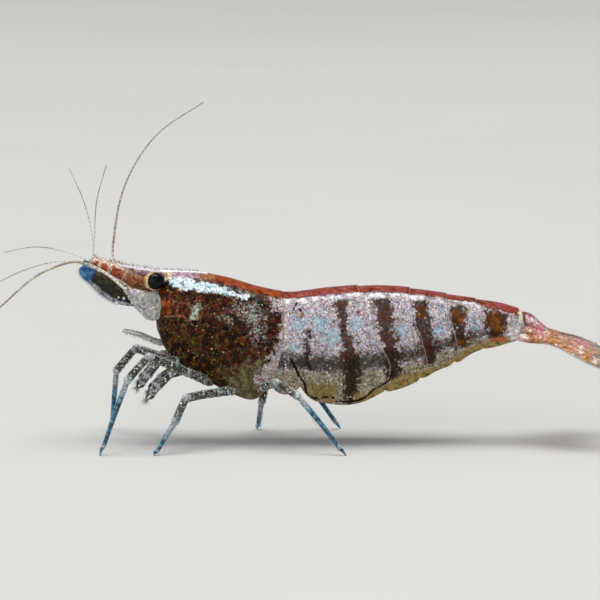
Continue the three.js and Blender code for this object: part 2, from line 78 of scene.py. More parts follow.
# Shell plates, as side outlines (x, z): the front edge from the back line down, the lower
# margin, and the rear edge from the back line down. TOP is the back line itself. "under"
# and "over" are how far the plate's front and rear edges stand off the body.
TOP = 99.0
CARAPACE = {
    "front": [(3.75, TOP), (4.02, 9.15), (3.72, 8.55), (3.86, 7.7), (3.5, 6.95), (3.62, 6.2)],
    "below": [(3.62, 6.2), (4.15, 5.15), (5.0, 4.35), (6.2, 3.65), (7.6, 2.9), (8.9, 2.62), (9.6, 3.3)],
    "rear": [(10.3, TOP), (10.45, 7.6), (10.35, 5.4), (10.0, 4.1), (9.6, 3.3)],
    "under": 0.0,
    "over": 0.02,
}
PLATES = {
    "abdomen_1": {
        "front": [(9.9, TOP), (9.7, 7.0), (9.5, 4.4), (9.7, 3.5)],
        "below": [(9.7, 3.5), (10.1, 3.05), (10.8, 2.95), (11.3, 3.3)],
        "rear": [(11.75, TOP), (11.9, 6.0), (11.6, 4.2), (11.3, 3.3)],
        "under": -0.02,
        "over": 0.03,
    },
    "abdomen_2": {
        "front": [(11.5, TOP), (11.25, 7.6), (10.88, 5.0), (11.1, 3.75)],
        "below": [(11.1, 3.75), (11.7, 2.9), (13.1, 2.4), (14.7, 2.5), (15.9, 3.1)],
        "rear": [(14.4, TOP), (14.8, 7.6), (15.7, 5.7), (16.25, 4.3), (15.9, 3.1)],
        "under": 0.04,
        "over": 0.05,
    },
    "abdomen_3": {
        "front": [(14.1, TOP), (14.3, 7.6), (15.2, 5.4), (15.5, 3.6)],
        "below": [(15.5, 3.6), (16.0, 3.12), (16.7, 3.2), (17.7, 3.62)],
        "rear": [(17.3, TOP), (17.35, 7.4), (17.95, 5.9), (18.25, 4.5), (17.7, 3.62)],
        "under": -0.02,
        "over": 0.045,
    },
    "abdomen_4": {
        "front": [(16.9, TOP), (17.0, 7.0), (17.4, 5.4), (17.5, 4.1)],
        "below": [(17.5, 4.1), (18.0, 3.8), (18.7, 4.15), (19.5, 4.48)],
        "rear": [(19.3, TOP), (19.35, 7.2), (19.8, 5.9), (19.95, 5.0), (19.5, 4.48)],
        "under": -0.02,
        "over": 0.045,
    },
    "abdomen_5": {
        "front": [(18.9, TOP), (18.95, 7.0), (19.3, 5.7), (19.5, 4.9)],
        "below": [(19.5, 4.9), (19.9, 4.62), (20.6, 5.05), (21.2, 5.3)],
        "rear": [(20.9, TOP), (20.95, 7.3), (21.25, 6.5), (21.5, 5.8), (21.2, 5.3)],
        "under": -0.02,
        "over": 0.04,
    },
    "abdomen_6": {
        "front": [(20.5, TOP), (20.5, 7.0), (20.7, 6.0), (20.9, 5.4)],
        "below": [(20.9, 5.4), (21.4, 5.33), (22.2, 5.48), (23.05, 5.72)],
        "rear": [(23.4, TOP), (23.42, 7.0), (23.5, 6.3), (23.4, 5.9), (23.05, 5.72)],
        "under": -0.02,
        "over": 0.03,
    },
}
SHELL_THICK = 0.06
SHIELD_GRID, RING_GRID = (96, 120), (44, 96)  # rows and columns of the plates' meshes
HIND_RIM, SEAM_RIM = 0.12, 0.04  # pale rims along the rear edges of the shield and the rings; the shield's is painted light that lifts the dark shadow line under its edge
HINGE = {"rim": 0.16, "above": 6.9}  # the pale hinge at the rear of the last ring
KEEL = {"height": 0.1, "fades": (4.6, 7.6), "half_angle": 0.11}  # ahead on the shield's back
CHANNEL_SHARE = 0.36  # roof of the channel under the abdomen, as a share of the section
# Flesh: its ends, its depth under the shell, where the head closes, the channel starts and
# the rusty brow ends.
FLESH = {"from": 2.2, "to": 23.6, "inset": 0.13, "round": (2.1, 3.0), "channel": (8.6, 10.6), "brow": 3.05}

# Blades and stalks on the animal's right side: centre line, half widths, half thicknesses,
# the direction of the width, how much midrib and margin thicken a blade, and the share of its
# length from which it closes in a round tip. Its pale flame lies at an x, with a half length,
# and its chalky root, partly white pigment and partly painted glints, ends at another.
ROSTRUM = {
    "path": [(6.6, 0, 9.18), (5.2, 0, 9.2), (3.7, 0, 9.27), (2.4, 0, 9.47), (1.6, 0, 9.64), (0.6, 0, 9.9)],
    "wide": [0.05, 0.12, 0.23, 0.25, 0.2, 0.04],
    "thick": [0.1, 0.14, 0.13, 0.11, 0.08, 0.02],
}
# Teeth on shares of the beak's length; a higher hook leans their points forward.
ROSTRUM_TEETH = {"count": 14, "height": 0.2, "from": 0.06, "to": 0.93, "hook": 1.6}
ROSTRUM_UNDER_TEETH = {"count": 4, "height": 0.05, "from": 0.7, "to": 0.92, "hook": 1}
# how deep the pale line along the beak's top edge reaches: partly pale cuticle, partly a painted highlight
RIDGE_DEPTH = 0.12
SCALE = {
    "path": [(2.5, 1.2, 7.98), (1.75, 1.28, 8.36), (0.85, 1.36, 8.9), (0.1, 1.42, 9.42), (-0.55, 1.45, 9.8)],
    "wide": [0.34, 0.6, 0.6, 0.44, 0.4],
    "thick": 0.08,
    "across": (0.4, -0.3, 0.86),
    "round_from": 0.8,
    "ribs": [(1.3, 0.7, 0.1), (0.7, 0.1, 0.08)],  # how much thicker, at which share out, how wide
    "length": 3.5,
    "half": 0.6,
    "blue_from": 2.7,
}
TELSON = {
    "path": [
        (22.9, 0, 6.84), (23.7, 0, 6.8), (24.25, 0, 6.42), (24.8, 0, 6.04), (25.4, 0, 5.82),
        (26.3, 0, 5.66), (27.5, 0, 5.47),
    ],
    "wide": [0.42, 0.5, 0.54, 0.55, 0.52, 0.42, 0.22],
    "thick": [0.36, 0.34, 0.28, 0.22, 0.16, 0.1, 0.06],
    "across": (0, 1, 0),
    "ribs": (0.12, 0.1),
    "round_from": 0.97,
    "flame": (25.2, 0.22),
    "root": 24.6,
}
UROPOD = {
    "across": (0, 0.95, -0.3),
    "ribs": (0.5, 0.4),
    "round_from": 0.72,
    "flame": (24.3, 0.85),
    "root": 23.5,
}
UROPODS = {
    "inner": UROPOD | {
        "path": [
            (22.9, 0.3, 6.35), (23.7, 0.66, 6.26), (24.8, 0.95, 6.0),
            (26.3, 1.2, 5.64), (27.9, 1.4, 5.02),
        ],
        "wide": [0.16, 0.3, 0.52, 0.7, 0.42],
        "thick": [0.14, 0.17, 0.12, 0.07, 0.05],
    },
    "outer": UROPOD | {
        "path": [
            (22.9, 0.4, 5.94), (23.7, 0.95, 5.88), (24.8, 1.52, 5.9),
            (26.3, 2.12, 5.36), (28.15, 2.55, 4.42),
        ],
        "wide": [0.16, 0.3, 0.56, 0.84, 0.5],
        "thick": [0.14, 0.18, 0.13, 0.07, 0.05],
    },
}
ORCHID_FROM = 25.8  # x where telson and inner blades turn lilac

ANTENNULE = [(2.75, 0.42, 8.75), (1.9, 0.44, 9.2), (1.1, 0.42, 9.6), (0.55, 0.41, 9.8), (0.15, 0.4, 9.98)]
ANTENNULE_GIRTHS = [(0.43, 0.42), (0.38, 0.38), (0.31, 0.33), (0.25, 0.27)]
# Cheek: places on its middle line at even steps, half height and half thickness there.
CHEEK_STATIONS = [
    (3.82, 0.98, 7.95, 0.56, 0.06),
    (3.6, 1.03, 7.83, 0.70, 0.24),
    (3.38, 1.06, 7.71, 0.86, 0.32),
    (3.16, 1.09, 7.81, 0.76, 0.37),
    (2.94, 1.12, 7.92, 0.65, 0.39),
    (2.72, 1.15, 8.04, 0.56, 0.38),
    (2.5, 1.18, 8.17, 0.48, 0.34),
    (2.28, 1.2, 8.3, 0.4, 0.26),
]
CHEEK_ACROSS = (0.02, 0.12, 1)
# Pearly beads on the feeler's root: x, y, z and radius.
CHEEK_BEADS = [
    (1.43, 1.52, 7.9, 0.11), (1.55, 1.48, 8.22, 0.05), (1.83, 1.5, 8.17, 0.08), (2.28, 1.46, 7.95, 0.09),
    (1.72, 1.5, 7.95, 0.05),
]
# Limbs, as joints from the root on, with the half girths at the ends of each segment.
ANTENNA_STEM = [(2.95, 1.2, 7.72), (2.6, 1.42, 8.05), (2.3, 1.55, 8.35), (1.98, 1.62, 8.64)]
ANTENNA_STEM_GIRTHS = [(0.3, 0.32), (0.26, 0.27), (0.2, 0.17)]
MAXILLIPED = [(4.3, 0.42, 5.4), (3.4, 0.5, 5.62), (2.6, 0.5, 5.98), (1.75, 0.45, 6.2)]
MAXILLIPED_GIRTHS = [(0.1, 0.09), (0.08, 0.07), (0.06, 0.03)]
JAW_LOBE = {
    "count": 3,
    "first": (3.75, 0.3, 6.15),
    "step": (0.28, 0.0, -0.28),
    "wide": [0.24, 0.3, 0.16],
    "thick": [0.12, 0.16, 0.1],
}
# A segment is narrower at its root and flares at its far rim, over shares of its length;
# white joints reach this far from its ends, and pale edges, a painted sheen on the outline seen from the
# side, start at this share of its rim.
SEGMENT = {"waist": 0.82, "root": 0.16, "flare": 0.05, "rim": 0.09, "joint": 0.14, "edge": 0.86}

CLAW_LEGS = {
    1: [(5.0, 0.7, 4.75), (3.75, 1.3, 4.7), (3.1, 1.25, 3.95), (2.5, 1.05, 3.2)],
    2: [(5.5, 0.7, 4.2), (4.35, 1.15, 3.95), (3.65, 1.35, 3.35), (3.0, 1.3, 2.6)],
}
CLAW_LEG_GIRTHS = [(0.26, 0.24), (0.22, 0.21), (0.16, 0.24), (0.2, 0.22)]
CLAW_PALM = 0.5  # share of the way from wrist to tip
CLAW_FINGER = {
    "wide": [0.12, 0.1, 0.04],
    "thick": [0.1, 0.09, 0.03],
    "apart": 0.1,
    "tips_apart": 0.035,
    "overlap": 0.06,
}
# Hip, knee, wrist and foot of each walking leg.
WALKING_LEGS = {
    "left": {
        3: [(6.5, 0.9, 3.5), (3.2, 3.0, 5.2), (2.1, 3.5, 4.0), (0.65, 4.0, 0.0)],
        4: [(7.9, 0.95, 3.1), (5.2, 3.0, 2.95), (4.65, 3.4, 1.75), (3.55, 4.0, 0.0)],
        5: [(8.9, 0.95, 3.1), (10.1, 2.7, 3.75), (11.2, 3.1, 3.1), (13.8, 4.0, 0.0)],
    },
    "right": {
        3: [(6.5, 0.9, 3.5), (2.2, 2.9, 4.75), (1.1, 3.4, 3.4), (0.75, 3.9, 0.0)],
        4: [(7.7, 0.95, 3.0), (9.5, 2.8, 2.95), (9.2, 3.3, 1.65), (8.95, 4.0, 0.0)],
        5: [(8.9, 0.95, 3.1), (10.2, 2.6, 4.1), (11.3, 3.0, 3.3), (13.6, 4.0, 0.0)],
    },
}
WALKING_LEG_SHARES = (0.0, 0.1, 0.2, 0.38, 1.0)  # ends of the segments from hip to knee
WALKING_LEG_GIRTHS = [(0.3, 0.29), (0.28, 0.27), (0.26, 0.25), (0.25, 0.24), (0.21, 0.22), (0.17, 0.11)]
# The toe: the share of the last segment where it starts, and its bend and height in mm.
TOE = {"from": 0.88, "girths": [0.1, 0.08, 0.03], "bend": (-0.04, 0, 0.07), "above_floor": 0.005}
# Marks of a walking leg: along its last segment, and from its root for the joints' white.
LEG_MARKS = {"blue_from": 0.65, "pale_at": 0.45, "pale_half": 0.55, "joints_rise": (0.8, 2.2)}
# Spines of a walking leg: for each of its three stretches, how many and how far out.
SPINE = {"rows": [(5, 0.24), (4, 0.22), (14, 0.13)], "shares": (0.35, 0.89), "length": 0.17, "radius": 0.022}
SWIMMERET = {
    "roots": [10.9, 13.2, 15.8, 18.1, 19.9],
    "lengths": [1.5, 1.9, 1.9, 1.6, 1.2],
    "y": 0.45,
    "sweep": 0.45,
    "root": 0.2,
    "stem": 0.45,
    "blade": 0.52,
    "girths": [(0.24, 0.2)],
    "wide": [0.1, 0.26, 0.2, 0.1],
    "thick": 0.04,
}

ANTENNAE = {
    "left": [
        (2.0, 1.62, 8.62), (0.6, 1.75, 9.75), (-0.6, 1.9, 10.2), (-2.3, 2.1, 9.75),
        (-5.0, 2.5, 7.65), (-8.2, 3.3, 5.3), (-11.6, 4.3, 3.5),
    ],
    "right": [
        (2.0, 1.62, 8.62), (1.1, 1.75, 9.9), (1.15, 1.9, 11.4), (1.75, 2.2, 14.0),
        (3.4, 2.8, 16.6), (6.0, 3.5, 18.4),
    ],
}
ANTENNULE_FEELERS = {
    "left_upper": [(0.1, 0.36, 10.1), (0.18, 0.4, 11.2), (0.36, 0.6, 13.4), (0.9, 0.95, 15.3)],
    "left_lower": [(0.1, 0.5, 9.85), (-1.5, 0.7, 10.1), (-3.4, 0.95, 9.7), (-5.2, 1.2, 8.9)],
    "right_upper": [(0.1, 0.36, 10.1), (0.0, 0.7, 11.3), (-0.5, 1.2, 13.2), (-1.3, 1.7, 14.9)],
    "right_lower": [(0.1, 0.5, 9.85), (-1.4, 0.9, 10.4), (-3.2, 1.5, 10.6), (-5.0, 2.2, 10.2)],
}
FEELERS = {"antenna": (0.08, 0.03), "antennule": (0.045, 0.02)}  # radius at root and tip
PALE_ROOT = 2.2  # length of the whitish first part of each feeler

# Markings that both flanks share, each named for its field. Areas are side outlines (x, z),
# rounds are (x, z, radius), and lines are points (x, z) with their half width, or one for each.
RING_MARKS = {
    "areas": {
        "band": [
            [(11.64, 6.45), (11.9, 6.45), (11.85, 5.6), (11.95, 4.3), (11.58, 4.3), (11.6, 5.6)],
            [(13.25, 8.1), (13.85, 8.1), (13.95, 6.5), (14.5, 5.2), (14.65, 4.2), (14.5, 3.2), (14.2, 2.3),
             (13.85, 2.3), (13.75, 3.7), (13.7, 5.0), (13.6, 5.9), (13.4, 6.6)],
            [(15.25, 8.15), (16.25, 8.15), (16.4, 6.6), (16.75, 5.3), (16.75, 3.6), (16.1, 3.6),
             (15.95, 5.2), (15.6, 6.6)],
            [(17.5, 8.1), (18.35, 8.1), (18.4, 6.4), (18.7, 5.5), (18.75, 4.6), (18.3, 4.6),
             (17.9, 5.5), (17.6, 6.2)],
            [(19.45, 7.9), (20.25, 7.9), (20.3, 6.6), (20.45, 5.6), (19.85, 5.4), (19.55, 6.4)],
            [(21.35, 7.4), (22.55, 7.3), (22.58, 6.3), (22.4, 5.85), (21.75, 5.85), (21.35, 6.6)],
        ],
        "khaki": [[(11.6, 3.75), (12.4, 3.6), (13.35, 3.5), (13.4, 2.5), (12.3, 2.4), (11.6, 2.8)]],
    },
    "rounds": {
        "sky": [
            (11.3, 6.75, 0.3), (12.45, 6.75, 0.4), (13.1, 6.1, 0.45), (11.1, 5.6, 0.25),
            (14.3, 6.9, 0.35), (16.8, 6.35, 0.3), (18.85, 6.4, 0.3), (20.85, 6.45, 0.22),
        ],
        "amber": [
            (19.85, 7.1, 0.45), (21.8, 6.9, 0.45), (22.2, 6.5, 0.45), (13.5, 7.7, 0.2),
            (17.9, 7.4, 0.3), (20.0, 5.7, 0.2),
        ],
        "crimson": [
            (18.15, 5.5, 0.5), (16.35, 5.9, 0.35), (20.6, 6.0, 0.3), (15.9, 7.2, 0.3), (13.9, 5.4, 0.35),
        ],
        "ember": [(11.44, 7.25, 0.15), (14.5, 7.4, 0.13)],
        "star": [(22.95, 6.2, 0.42)],
    },
    "lines": {
        "ink": [
            ([(10.86, 4.85), (11.12, 4.4), (11.3, 3.95), (11.6, 3.6), (11.65, 3.1), (11.8, 2.85),
              (12.15, 2.72), (12.6, 2.72), (13.0, 2.86), (13.25, 2.58), (13.8, 2.55), (14.5, 2.6),
              (14.85, 2.75), (15.2, 3.1), (15.8, 3.45), (16.2, 3.75), (16.3, 4.2)], 0.07),
            ([(10.95, 7.5), (11.18, 7.85)], 0.045),
            ([(11.25, 7.55), (11.4, 7.48)], 0.045),
            ([(11.5, 6.38), (11.95, 6.42)], 0.045),
        ],
        "salmon": [([(21.75, 5.82), (22.5, 5.85)], 0.09)],
    },
}
THROAT_GROOVE = [(4.0, 7.15), (5.0, 7.2), (5.35, 6.95), (5.75, 6.45)]
GROOVE = {"depth": 0.05, "half": 0.12}
SHIELD_MARKS = {
    "areas": {
        "flare": [[(3.9, 8.5), (8.4, 8.2), (8.4, 7.4), (6.5, 7.1), (4.2, 7.9)]],
        "blaze": [[(3.9, 8.45), (4.4, 8.45), (4.4, 7.3), (4.1, 7.15), (3.8, 7.4)]],
        "brim": [[(3.72, 9.5), (4.35, 9.5), (4.45, 9.15), (4.1, 8.95), (3.9, 9.05)]],
        "wedge": [[(5.78, 7.9), (6.0, 7.85), (5.9, 7.35), (5.55, 6.9), (5.3, 7.0), (5.45, 7.5)]],
        "vessels": [[(4.4, 8.1), (5.9, 8.0), (6.1, 6.9), (5.0, 6.5), (4.6, 7.1)]],
        "cloud": [[(7.8, 7.8), (8.9, 7.9), (9.4, 7.3), (9.5, 6.8), (9.2, 6.6), (8.5, 6.9), (8.0, 7.2)]],
        "horn": [[(7.4, 4.0), (8.3, 4.5), (9.3, 4.8), (10.2, 4.6), (10.0, 2.4), (7.6, 2.4)]],
        "pale": [
            [(10.35, 6.6), (9.95, 5.35), (9.4, 4.6), (9.0, 4.1), (9.3, 3.1), (10.3, 3.9),
             (10.8, 5.4), (10.8, 6.4)],
            [(9.6, 8.15), (10.6, 8.1), (10.6, 7.4), (9.9, 7.35)],
        ],
    },
    "rounds": {"cloud": [(9.1, 6.15, 0.3), (7.4, 7.15, 0.22), (8.35, 8.42, 0.28)]},
    "lines": {
        "streak": [
            ([(4.45, 8.98), (5.2, 8.88), (6.3, 8.72), (7.4, 8.47), (8.5, 8.15)],
             [0.22, 0.3, 0.24, 0.17, 0.05]),
        ],
        "groove": [(THROAT_GROOVE, [0.05, 0.05, 0.045, 0.03])],
        # orbit: a painted shadow, the dark slit between the eye and the shield's edge
        "orbit": [([(3.9, 8.72), (4.15, 8.95)], [0.1, 0.12])],
    },
}
# Round marks of the tail blades, as (x, z, radius), and the colours of their clouds; the glint marks are
# painted highlights.
FAN_MARKS = {
    "saffron": [(26.76, 5.12, 0.22), (25.1, 6.0, 0.3), (25.6, 5.5, 0.2), (24.2, 5.75, 0.2)],
    "blossom": [(26.9, 5.86, 0.4), (24.4, 6.35, 0.25), (23.4, 6.5, 0.2)],
    "glint": [(24.8, 6.32, 0.12), (26.5, 5.4, 0.12), (23.5, 6.1, 0.16), (27.2, 4.9, 0.12)],
}
FAN_MARK_COLOURS = {
    "saffron": "#7E4410 #B0701E #D8A860",
    "blossom": "#9A4050 #C46C7A #E0A4A4",
    "glint": "#E0CCC0 #FFFAF4",
}
# Cloud-shaped patches: colour, size in mm, level (0.5 covers half the ground) and strength.
SHIELD_PATCHES = [
    ("#060200", 0.55, 0.5, 0.85),
    ("#4A0A04", 0.32, 0.57, 0.65),
    ("#6E6224", 0.26, 0.61, 0.65),
    ("#A8440C", 0.2, 0.64, 0.6),
    ("#8E9A86", 0.15, 0.67, 0.6),
    ("#A88462", 0.12, 0.67, 0.55),
]
GROUND_PATCHES = [  # the pale ground of the rings
    ("#B08480", 0.3, 0.6, 0.5),
    ("#7E8E80", 0.6, 0.54, 0.6),
    ("#A890B8", 0.5, 0.57, 0.5),
    ("#D8CCC8", 0.4, 0.58, 0.6),
]
ROSE_PATCHES = [  # the stripe along the back
    ("#4A100A", 0.16, 0.6, 0.6),
    ("#B06A2C", 0.42, 0.62, 0.6),
    ("#AE5A68", 0.3, 0.57, 0.6),
]
MILK_PATCHES = [  # cheeks and stalks
    ("#CDBE90", 0.22, 0.58, 0.6),
    ("#A49CC4", 0.3, 0.56, 0.65),
    ("#8A9488", 0.36, 0.56, 0.6),
]
FAN_PATCHES = [
    ("#76704A", 0.5, 0.55, 0.65),
    ("#A05068", 0.4, 0.6, 0.55),
    ("#C08838", 0.34, 0.59, 0.65),
    ("#7A2018", 0.22, 0.62, 0.75),
    ("#FAF0EA", 0.26, 0.61, 0.75),
]
# Life's pigment cells are about 0.03 mm wide, its feeler rings 0.1 and its eye facets 0.025:
# too fine to show, so they are drawn coarser.
CELL = 0.085
FEELER_RING = 0.25
EYE_FACET = 0.05
BACK_STRIPE_SHARE = 0.5  # width of the rose stripe down each side of the back, over the half width
TAIL_STRIPE = {"from": 20.7, "to": 21.8, "more": 0.36}  # where the stripe widens, by how much
RAIL_HALF = 0.05  # the fine line down the stripe's edge
GLEAM_HALF = 0.17  # the pale line below it: partly white pigment, partly a painted highlight
GLEAM_ENDS = (21.0, 21.6)
DUSK_SHARES = (0.28, 0.445)  # the smoky belt round the lower flank, as shares of the section
HEM_HEIGHT = 0.5  # the pale hem of the rings
HEM_SWELL = {"at": 17.0, "half": 1.3, "more": 0.5}  # where the hem is deeper, and by how much
HEM_START = 14.3
# Ahead of its start the stripe gives way to these marks of the shield's back: how deep they
# reach down the sides and how far ahead they lie.
STRIPE_START = 6.7
BROW = {"depth": 0.85, "half": 0.42, "ahead": 0.4}
MAUVE = {"depth": 0.8, "ahead": 0.5}
# ridge: the pale line along the top, partly pale cuticle and partly a painted highlight
RIDGE = {"depth": 0.2, "ahead": 0.4}
THROAT_SHARE = 0.42  # how high the throat reaches, as a share of the section

BODY_MIDDLE = (12, 0, 6)
CAMERA = {"target": (11.34, 0, 7.87), "elevation": 8, "lens": 180, "sensor": 36, "width": 32.7}
# The floor card in metres: half its side, its teeth per metre, how high they are, and the size
# of its faint clouds.
CARD = {"half": 3.0, "teeth": 900.0, "tooth": 0.00003, "cloud": 0.08}

# --------------------------------------------------------------------- frame

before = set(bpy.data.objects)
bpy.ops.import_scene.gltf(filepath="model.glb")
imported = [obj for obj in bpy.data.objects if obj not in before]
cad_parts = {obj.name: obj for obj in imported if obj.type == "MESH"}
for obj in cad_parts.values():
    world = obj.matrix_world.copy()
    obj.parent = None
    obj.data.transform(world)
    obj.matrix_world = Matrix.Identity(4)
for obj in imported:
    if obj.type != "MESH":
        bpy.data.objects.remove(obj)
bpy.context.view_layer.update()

eye_low, eye_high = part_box("eye_left")
eye_centre = np.array((eye_low + eye_high) / 2) / MM
BODY_SHIFT = eye_centre - np.array([EYE["x"], -EYE["y"], EYE["z"]])


def to_frame(points):
    """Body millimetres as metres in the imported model's frame."""
    return (np.asarray(points, float) + BODY_SHIFT) * MM


# ------------------------------------------------------------ shapes in code

ABSENT = -9.0  # a field's value, in mm, well outside its marking


def smooth(keys, at):
    """Values at the given places of a smooth curve through keys: place, value, value, ..."""
    keys = np.array(keys, float)
    places, values = keys[:, 0], keys[:, 1:]
    slopes = np.gradient(values, places, axis=0)
    at = np.clip(np.asarray(at, float), places[0], places[-1])
    i = np.clip(np.searchsorted(places, at, side="right") - 1, 0, len(places) - 2)
    span = (places[i + 1] - places[i])[..., None]
    t = (at - places[i])[..., None] / span
    start = (2 * t**3 - 3 * t**2 + 1) * values[i] + (t**3 - 2 * t**2 + t) * span * slopes[i]
    end = (3 * t**2 - 2 * t**3) * values[i + 1] + (t**3 - t**2) * span * slopes[i + 1]
    return start + end


def curve(points, count):
    """Evenly shared points on a smooth curve through the given ones."""
    points = np.array(points, float)
    steps = np.linalg.norm(np.diff(points, axis=0), axis=1)
    reach = np.concatenate([[0], np.cumsum(steps)]) / steps.sum()
    return smooth(np.column_stack([reach, points]), np.linspace(0, 1, count))


def spread(values, count):
    """Measures at even shares of a length, on a smooth curve through them."""
    keys = np.column_stack([np.linspace(0, 1, len(values)), values])
    return smooth(keys, np.linspace(0, 1, count))[:, 0]


def ease(low, high, value):
    """0 below low, 1 above high and a smooth rise between them."""
    t = np.clip((np.asarray(value, float) - low) / (high - low), 0, 1)
    return t * t * (3 - 2 * t)


def bell(value, middle, half):
    """1 at the middle, falling on both sides to about a third at half."""
    return np.exp(-(((value - middle) / half) ** 2))


def unit(vectors):
    """The vectors at length 1."""
    vectors = np.asarray(vectors, float)
    return vectors / np.maximum(np.linalg.norm(vectors, axis=-1, keepdims=True), 1e-9)


def mirrored(points, side):
    """Points of the right side, on the side asked for."""
    return np.array(points, float) * (1, side, 1)


def along_line(x, z, line, halves=0.0):
    """How far inside a line of some half widths each point lies, in millimetres, below 0 outside."""
    best = np.full(np.shape(x), ABSENT)
    line = np.array(line, float)
    halves = np.broadcast_to(halves, len(line))
    for a, b, wide_a, wide_b in zip(line, line[1:], halves, halves[1:]):
        step = b - a
        t = np.clip(((x - a[0]) * step[0] + (z - a[1]) * step[1]) / (step @ step), 0, 1)
        away = np.hypot(x - a[0] - t * step[0], z - a[1] - t * step[1])
        best = np.maximum(best, wide_a + (wide_b - wide_a) * t - away)
    return best


def within(x, z, outline):
    """How far inside a closed outline each point lies, in millimetres, below 0 outside."""
    ring = list(outline) + [outline[0]]
    away = -along_line(x, z, ring)
    inside = np.zeros(np.shape(x), bool)
    for (xa, za), (xb, zb) in zip(ring, ring[1:]):
        crosses = (za > z) != (zb > z)
        rise = (zb - za) if zb != za else 1e-9
        inside ^= crosses & (x < xa + (z - za) * (xb - xa) / rise)
    return np.where(inside, away, -away)


class Shape:
    """Closed surfaces in body millimetres, with the fields that their materials read."""

    def __init__(self, *surface):
        """Starts empty, or with one surface: points, faces and fields."""
        self.points = np.zeros((0, 3))
        self.faces = []
        self.fields = {}
        if surface:
            self.add(*surface)

    def add(self, points, faces, fields):
        """Joins one more surface; where it lacks a field, that marking is absent."""
        start, count = len(self.points), len(points)
        self.points = np.vstack([self.points, points])
        self.faces += [tuple(int(i) + start for i in face) for face in faces]
        for name in set(self.fields) | set(fields):
            old = self.fields.get(name, np.full(start, ABSENT))
            new = np.broadcast_to(np.asarray(fields.get(name, ABSENT), float), (count,))
            self.fields[name] = np.concatenate([old, new])


def make_piece(name, shape, material, slot, *nodes):
    """A smooth-shaded piece of the animal that rides on it and stands for CAD nodes."""
    mesh = bpy.data.meshes.new(name)
    mesh.from_pydata(to_frame(shape.points).tolist(), [], shape.faces)
    work = bmesh.new()
    work.from_mesh(mesh)
    bmesh.ops.recalc_face_normals(work, faces=work.faces)
    work.to_mesh(mesh)
    work.free()
    mesh.shade_smooth()
    absent = np.full(len(shape.points), ABSENT)
    for field in sorted(FIELDS_READ[material.name]):
        layer = mesh.attributes.new(field, "FLOAT", "POINT")
        layer.data.foreach_set("value", shape.fields.get(field, absent).astype(np.float32))
    if "bake_u" in shape.fields:
        corners = np.zeros(len(mesh.loops), int)
        mesh.loops.foreach_get("vertex_index", corners)
        place = np.column_stack([shape.fields["bake_u"][corners], shape.fields["bake_v"][corners]])
        mesh.uv_layers.new(name="OFBake").data.foreach_set("uv", place.ravel().astype(np.float32))
    mesh.materials.append(material)
    piece = bpy.data.objects.new(name, mesh)
    bpy.context.scene.collection.objects.link(piece)
    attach(piece, "root")
    if nodes:
        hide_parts(*nodes)


def grid_faces(rows, columns, closed=False):
    """Four-cornered faces over a grid of points, joined round its columns if closed."""
    faces = []
    for r in range(rows - 1):
        for c in range(columns if closed else columns - 1):
            d = (c + 1) % columns
            faces.append((r * columns + c, r * columns + d, (r + 1) * columns + d, (r + 1) * columns + c))
    return faces


def tube_faces(rows, sides):
    """Faces round a tube of rings of points, with both its ends closed."""
    last = (rows - 1) * sides
    ends = [tuple(range(sides)), tuple(last + i for i in reversed(range(sides)))]
    return grid_faces(rows, sides, closed=True) + ends


def sheet(outer, thick):
    """A plate with a rounded rim under a grid of outer points (rows, columns, 3).

    Gives its points, its faces, and the grid point whose fields each point takes.
    """
    rows, columns = outer.shape[:2]
    normals = unit(np.cross(np.gradient(outer, axis=0), np.gradient(outer, axis=1)))
    middle = outer.reshape(-1, 3).mean(0)
    if np.sum(normals * (outer - middle)) < 0:
        normals = -normals
    inner = outer - normals * thick
    index = np.arange(rows * columns).reshape(rows, columns)
    border = np.concatenate([index[0, :-1], index[:-1, -1], index[-1, :0:-1], index[:0:-1, 0]])
    inside = np.concatenate([index[1, :-1], index[:-1, -2], index[-2, :0:-1], index[:0:-1, 1]])
    flat_outer, flat_inner = outer.reshape(-1, 3), inner.reshape(-1, 3)
    outward = unit(flat_outer[border] - flat_outer[inside])
    rim = (flat_outer[border] + flat_inner[border]) / 2 + outward * thick / 2
    size = rows * columns
    faces = grid_faces(rows, columns)
    faces += [tuple(i + size for i in reversed(face)) for face in faces]
    for k in range(len(border)):
        a, b = border[k], border[(k + 1) % len(border)]
        m, n = 2 * size + k, 2 * size + (k + 1) % len(border)
        faces += [(a, b, n, m), (m, n, b + size, a + size)]
    pick = np.concatenate([index.ravel(), index.ravel(), border])
    return np.vstack([flat_outer, flat_inner, rim]), faces, pick


def way_across(path, across):
    """Tangents, width directions and flat directions along a path."""
    tangents = unit(np.gradient(path, axis=0))
    if across is not None:
        wide = np.array(across, float) - (tangents @ np.array(across, float))[:, None] * tangents
        wide = unit(wide)
    else:
        guess = np.array([0.0, 1.0, 0.0]) if abs(tangents[0][1]) < 0.8 else np.array([1.0, 0.0, 0.0])
        wide = []
        for tangent in tangents:
            guess = unit(guess - (guess @ tangent) * tangent)
            wide.append(guess)
        wide = np.array(wide)
    return tangents, wide, np.cross(tangents, wide)


END_RINGS = (0.4, 0.75, 0.95)  # rings that round off an end, as shares of its length
BAKE_PATCH = 0.003  # side of a hair's patch on the bake map


